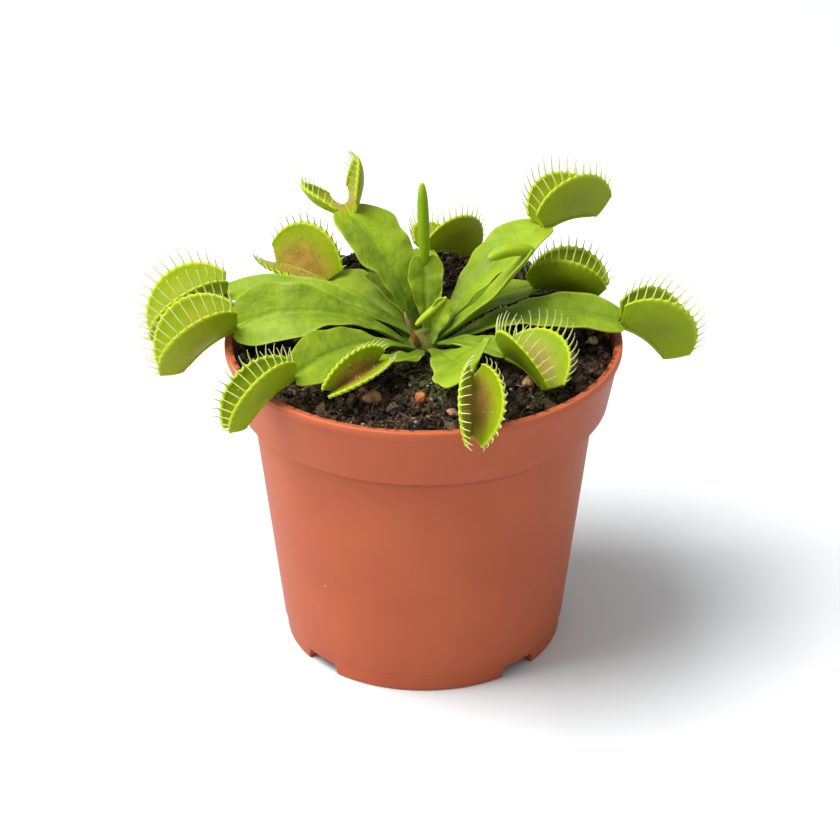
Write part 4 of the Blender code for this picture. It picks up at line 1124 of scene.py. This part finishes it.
def hair_patches(leaf, look):
    """A trap's bristles along each margin, and the trigger hairs inside each lobe.

    A bristle is a quadratic curve from just inside the margin. It starts in the lobe's own direction,
    turned inwards by the first of the turns, and ends turned by the second. A trigger hair is straight, at
    right angles to the lobe.
    """
    trap, bristles, patches = leaf.end, look.bristles, []
    _, left, _ = axes(trap.heading, trap.pitch, trap.roll)
    steps, sides = BRISTLE_GRID
    share = np.linspace(0, 1, steps)[None, :, None]
    for side in (-1, 1):
        foot = -1 + 2 / bristles * (np.arange(bristles) + BRISTLE_OFFSETS[side])
        edge = trap_points(leaf, foot, side * np.ones_like(foot))
        outward = unit(edge - trap_points(leaf, foot, side * 0.9 * np.ones_like(foot)))
        longest = trap.tooth * np.cos(math.pi / 2 * foot)
        length = (BRISTLE_SHORTEST * trap.tooth + (1 - BRISTLE_SHORTEST) * longest)[:, None]
        rng = np.random.default_rng(len(leaf.name) + side)
        length = length * rng.uniform(0.88, 1.06, length.shape)
        turns = np.radians(np.array(BRISTLE_TURNS)[:, None] + rng.uniform(-4, 4, bristles))[..., None]
        first, last = unit(outward * np.cos(turns) - side * left * np.sin(turns))
        root = (edge - BRISTLE_SUNK * outward)[:, None]
        middle, tip = (edge + 0.5 * length * first)[:, None], (edge + length * last)[:, None]
        paths = (1 - share) ** 2 * root + 2 * share * (1 - share) * middle + share**2 * tip
        thin = look.bristle_radius / MM * (1 - 0.8 * share[..., 0]) * np.minimum(1, 0.5 + length / 8)
        patches.append(tubes(paths, thin, sides, 2, shares(bristles, steps, share[..., 0], 0, 0)))
        u, w = np.array(TRIGGER_PLACES).T * [[1], [side]]
        on, near = trap_points(leaf, u, w), 0.02
        along, across = trap_points(leaf, u + near, w) - on, trap_points(leaf, u, w + near) - on
        hairs = on[:, None] + unit(np.cross(along, across))[:, None] * TRIGGER_LENGTH * share
        slim = np.full((len(u), 1), TRIGGER_RADIUS) * (1 - 0.6 * share[..., 0])
        patches.append(tubes(hairs, slim, TRIGGER_SIDES, 2, (0.6, 0, 0)))
    return patches


def pod_patch(leaf):
    """An unopened trap: a bean whose radius is sqrt(1 - |(s - 0.46) / 0.54|^3.2), seamed along one side."""
    pod, (steps, sides) = leaf.end, POD_GRID
    along, _, up = axes(pod.heading, pod.pitch)
    share = 0.46 - 0.4995 * np.cos(np.linspace(0, math.pi, steps)) + 0.02 * np.linspace(-1, 1, steps)
    path = np.array(leaf.neck, float) + pod.length * share[:, None] * along
    path = path + (pod.bend * np.sin(math.pi * share))[:, None] * up
    angle = 2 * math.pi * np.arange(sides) / sides
    full = np.sqrt(np.clip(1 - np.abs((share - 0.46) / 0.54) ** 3.2, 0.01, 1))[:, None]
    seam = np.exp(-(((angle - 1.2) / 0.28) ** 2))
    reach = pod.radius * full * (1 - 0.1 * seam)
    rim = 0.7 * leaf.tone**2 + 0.3 * smooth(0.8, 1.0, share)
    return tubes(path[None], reach[None], sides, 1, shares(1, steps, rim, 0, 0))


def make_leaves(look):
    """Every leaf: its blade with its trap or its pod, in place of its node."""
    finishes = [blade_material(look), trap_material(look), bristle_material(look)]
    for leaf in LEAVES:
        patches = [blade_patch(leaf, look)]
        if isinstance(leaf.end, Trap):
            patches += trap_patches(leaf, look)
        elif isinstance(leaf.end, Pod):
            patches.append(pod_patch(leaf))
        used = finishes[:1 + max(made["finish"] for made in patches)]
        belongs(lay_mesh(leaf.name + "_living", patches, used), leaf.name)


def make_stage(look):
    """The floor, the lamps, the sky and the camera, aimed near the middle of the plant with its pot."""
    corners = [(x * look.floor, y * look.floor, 0) for x, y in ((-1, -1), (1, -1), (1, 1), (-1, 1))]
    mesh = bpy.data.meshes.new("studio_floor")
    mesh.from_pydata(corners, [], [(0, 1, 2, 3)])
    mesh.materials.append(floor_material(look.floor_colour))
    floor = bpy.data.objects.new("studio_floor", mesh)
    bpy.context.scene.collection.objects.link(floor)
    aim = Vector((POT_PLACE + np.array(AIM)) * MM)
    for (name, place), power in zip(LAMPS.items(), (look.key_power, look.fill_power)):
        lamp = bpy.data.lights.new(name, "AREA")
        lamp.energy, lamp.size = power, LAMP_SIZE
        light = bpy.data.objects.new(name, lamp)
        light.location = aim + Vector(place)
        light.rotation_euler = (aim - light.location).to_track_quat("-Z", "Y").to_euler()
        bpy.context.scene.collection.objects.link(light)
    world = bpy.data.worlds.new("studio_white")
    world.use_nodes = True
    sky = world.node_tree.nodes["Background"]
    sky.inputs["Color"].default_value = SKY_COLOUR
    sky.inputs["Strength"].default_value = look.sky_strength
    bpy.context.scene.world = world
    lens = bpy.data.cameras.new("camera")
    lens.lens = look.lens
    camera = bpy.data.objects.new("camera", lens)
    back = Vector((0, -math.cos(look.elevation), math.sin(look.elevation)))
    camera.location = aim + back * look.distance
    camera.rotation_euler = (-back).to_track_quat("-Z", "Y").to_euler()
    bpy.context.scene.collection.objects.link(camera)
    bpy.context.scene.camera = camera
    bpy.context.scene.view_settings.view_transform = "Standard"


# ---------------------------------------------------------------------------------------------------------
# Settings, operators and panel
# ---------------------------------------------------------------------------------------------------------


def colour(name, description, hex_value):
    """A colour setting, kept in linear light."""
    return FloatVectorProperty(name=name, description=description, default=linear(hex_value),
                               subtype="COLOR", size=3, min=0.0, max=1.0)


def small_length(name, description, default, least, most):
    """A setting for a length, given here in millimetres."""
    return FloatProperty(name=name, description=description, default=default * MM, min=least * MM,
                         max=most * MM, unit="LENGTH")


def number(name, description, default, most, least=0):
    """A setting for how many of something there are."""
    return IntProperty(name=name, description=description, default=default, min=least, max=most)


class FlytrapPotSettings(bpy.types.PropertyGroup):
    clay: colour("Clay", "Main colour of the pot's plastic", "#AC5232")
    clay_light: colour("Light clay", "Colour of the plastic's lighter clouds", "#B45A38")
    # The lip's colour stands for worn plastic and also for a painted highlight along its edge.
    edge: colour("Edge", "Colour of the worn lip", "#C4683F")
    marks: FloatProperty(name="Marks", description="How strong the specks and scuffs are", default=0.6,
                         min=0.0, max=1.0, subtype="FACTOR")


class FlytrapPeatSettings(bpy.types.PropertyGroup):
    crumbs: number("Crumbs", "Loose grains on the peat", 2900, 2900)
    fines: number("Fines", "Small grains on top of the peat", 2700, 2900)
    heap: number("Heap", "Clods heaped against the pot's back", 640, 800)
    crumb_size: small_length("Crumb size", "Middle size of a loose grain", 1.1, 0.5, 3.0)
    lumps: small_length("Lumps", "Height of the bed's fine lumps", 1.0, 0.0, 2.0)
    fibres: number("Fibres", "Fibres on the peat", 260, 600)
    moist: colour("Moist peat", "Colour of the wettest peat", "#0D0907")
    dry: colour("Dry peat", "Colour of the driest peat", "#7C5F45")
    moss: colour("Moss", "Colour of the film of moss", "#5E6B33")
    grit: colour("Grit", "Colour of the pale grains", "#C2AE90")


class FlytrapLeafSettings(bpy.types.PropertyGroup):
    thickness: small_length("Thickness", "Thickness of a blade beside its midrib", 0.7, 0.3, 1.5)
    bristles: number("Bristles", "Bristles on each lobe", 15, 22, least=6)
    bristle_radius: small_length("Bristle radius", "Radius of a bristle at its foot", 0.21, 0.1, 0.5)
    deep_green: colour("Deep green", "Blade colour of the oldest leaves", "#587216")
    light_green: colour("Light green", "Blade colour of the youngest leaves", "#8FA71F")
    rim_green: colour("Rim green", "Colour of blade edges and veins", "#97AA2E")
    # Also laid on each blade's base as painted shade by the crown.
    root_green: colour("Root green", "Colour of the leaf bases", "#5E7622")
    trap_green: colour("Trap green", "Lobe colour of the greenest traps", "#7C9C0E")
    trap_light: colour("Yellow trap green", "Lobe colour of the yellowest traps", "#9EA410")
    trap_rim: colour("Trap rim", "Colour of the rim that carries the bristles", "#AEBE2A")
    blush: colour("Blush", "Darker colour of the lobes' inside", "#8F4A32")
    blush_light: colour("Light blush", "Lighter colour of the lobes' inside", "#B0784A")
    bristle_foot: colour("Bristle foot", "Colour of a bristle at its foot", "#C2CB62")
    bristle_tip: colour("Bristle tip", "Colour of a bristle at its tip", "#DDD9B0")


class FlytrapStageSettings(bpy.types.PropertyGroup):
    distance: FloatProperty(name="Distance", description="From the camera to its aim", default=0.7, min=0.2,
                            max=5.0, unit="LENGTH")
    elevation: FloatProperty(name="Elevation", description="Angle of the camera above level",
                             default=math.radians(28.78), min=0.0, max=1.5, unit="ROTATION")
    lens: FloatProperty(name="Lens", description="Focal length in millimetres", default=130.7, min=20.0,
                        max=300.0)
    floor: FloatProperty(name="Floor", description="Half the side of the floor", default=3.0, min=0.5,
                         max=20.0, unit="LENGTH")
    floor_colour: colour("Floor colour", "Colour of the floor", "#E4E7E8")
    key_power: FloatProperty(name="Key", description="Power of the main light", default=19.0, min=0.0,
                             max=500.0, unit="POWER")
    fill_power: FloatProperty(name="Fill", description="Power of the side light", default=3.5, min=0.0,
                              max=500.0, unit="POWER")
    sky_strength: FloatProperty(name="Sky", description="Brightness of the white surroundings",
                                default=0.47, min=0.0, max=5.0)


class FLYTRAP_OT_stage(bpy.types.Operator):
    """Makes the floor, the lights and the camera"""

    bl_idname = "flytrap.stage"
    bl_label = "Stage"

    def execute(self, context):
        make_stage(context.scene.flytrap_stage)
        return {"FINISHED"}


class FLYTRAP_OT_pot(bpy.types.Operator):
    """Makes the moulded plastic pot, with its drains and foot notches"""

    bl_idname = "flytrap.pot"
    bl_label = "Pot"

    def execute(self, context):
        make_pot(context.scene.flytrap_pot)
        return {"FINISHED"}


class FLYTRAP_OT_peat(bpy.types.Operator):
    """Makes the peat bed, its crumbs and grit, and its fibres"""

    bl_idname = "flytrap.peat"
    bl_label = "Peat"

    def execute(self, context):
        look = context.scene.flytrap_peat
        make_soil(look)
        make_crumbs(look)
        make_fibres(look)
        return {"FINISHED"}


class FLYTRAP_OT_pebbles(bpy.types.Operator):
    """Makes the pebbles that lie on the peat"""

    bl_idname = "flytrap.pebbles"
    bl_label = "Pebbles"

    def execute(self, context):
        make_pebbles()
        return {"FINISHED"}


class FLYTRAP_OT_crown(bpy.types.Operator):
    """Makes the crown and what is left of an old leaf"""

    bl_idname = "flytrap.crown"
    bl_label = "Crown"

    def execute(self, context):
        make_crown(context.scene.flytrap_leaf)
        return {"FINISHED"}


class FLYTRAP_OT_leaves(bpy.types.Operator):
    """Makes every leaf, with its trap or pod"""

    bl_idname = "flytrap.leaves"
    bl_label = "Leaves"

    def execute(self, context):
        make_leaves(context.scene.flytrap_leaf)
        return {"FINISHED"}


class FLYTRAP_PT_panel(bpy.types.Panel):
    bl_idname = "FLYTRAP_PT_panel"
    bl_label = "Potted Venus Flytrap"
    bl_space_type = "VIEW_3D"
    bl_region_type = "UI"
    bl_category = "Flytrap"

    def draw(self, context):
        for holder, steps in SECTIONS.items():
            settings = getattr(context.scene, holder)
            box = self.layout.box()
            for name in settings.__annotations__:
                box.prop(settings, name)
            for step in steps:
                box.operator("flytrap." + step)


# Each group of settings and the operators that use it, in the order in which they run.
GROUPS = {
    "flytrap_stage": FlytrapStageSettings,
    "flytrap_pot": FlytrapPotSettings,
    "flytrap_peat": FlytrapPeatSettings,
    "flytrap_leaf": FlytrapLeafSettings,
}
SECTIONS = {
    "flytrap_stage": ("stage",),
    "flytrap_pot": ("pot",),
    "flytrap_peat": ("peat", "pebbles"),
    "flytrap_leaf": ("crown", "leaves"),
}
CLASSES = (
    *GROUPS.values(), FLYTRAP_OT_stage, FLYTRAP_OT_pot, FLYTRAP_OT_peat, FLYTRAP_OT_pebbles,
    FLYTRAP_OT_crown, FLYTRAP_OT_leaves, FLYTRAP_PT_panel,
)


def register():
    for kind in CLASSES:
        bpy.utils.register_class(kind)
    for holder, kind in GROUPS.items():
        setattr(bpy.types.Scene, holder, PointerProperty(type=kind))


def unregister():
    for holder in GROUPS:
        delattr(bpy.types.Scene, holder)
    for kind in reversed(CLASSES):
        bpy.utils.unregister_class(kind)


def main():
    register()
    for steps in SECTIONS.values():
        for step in steps:
            getattr(bpy.ops.flytrap, step)()


if __name__ == "__main__":
    main()
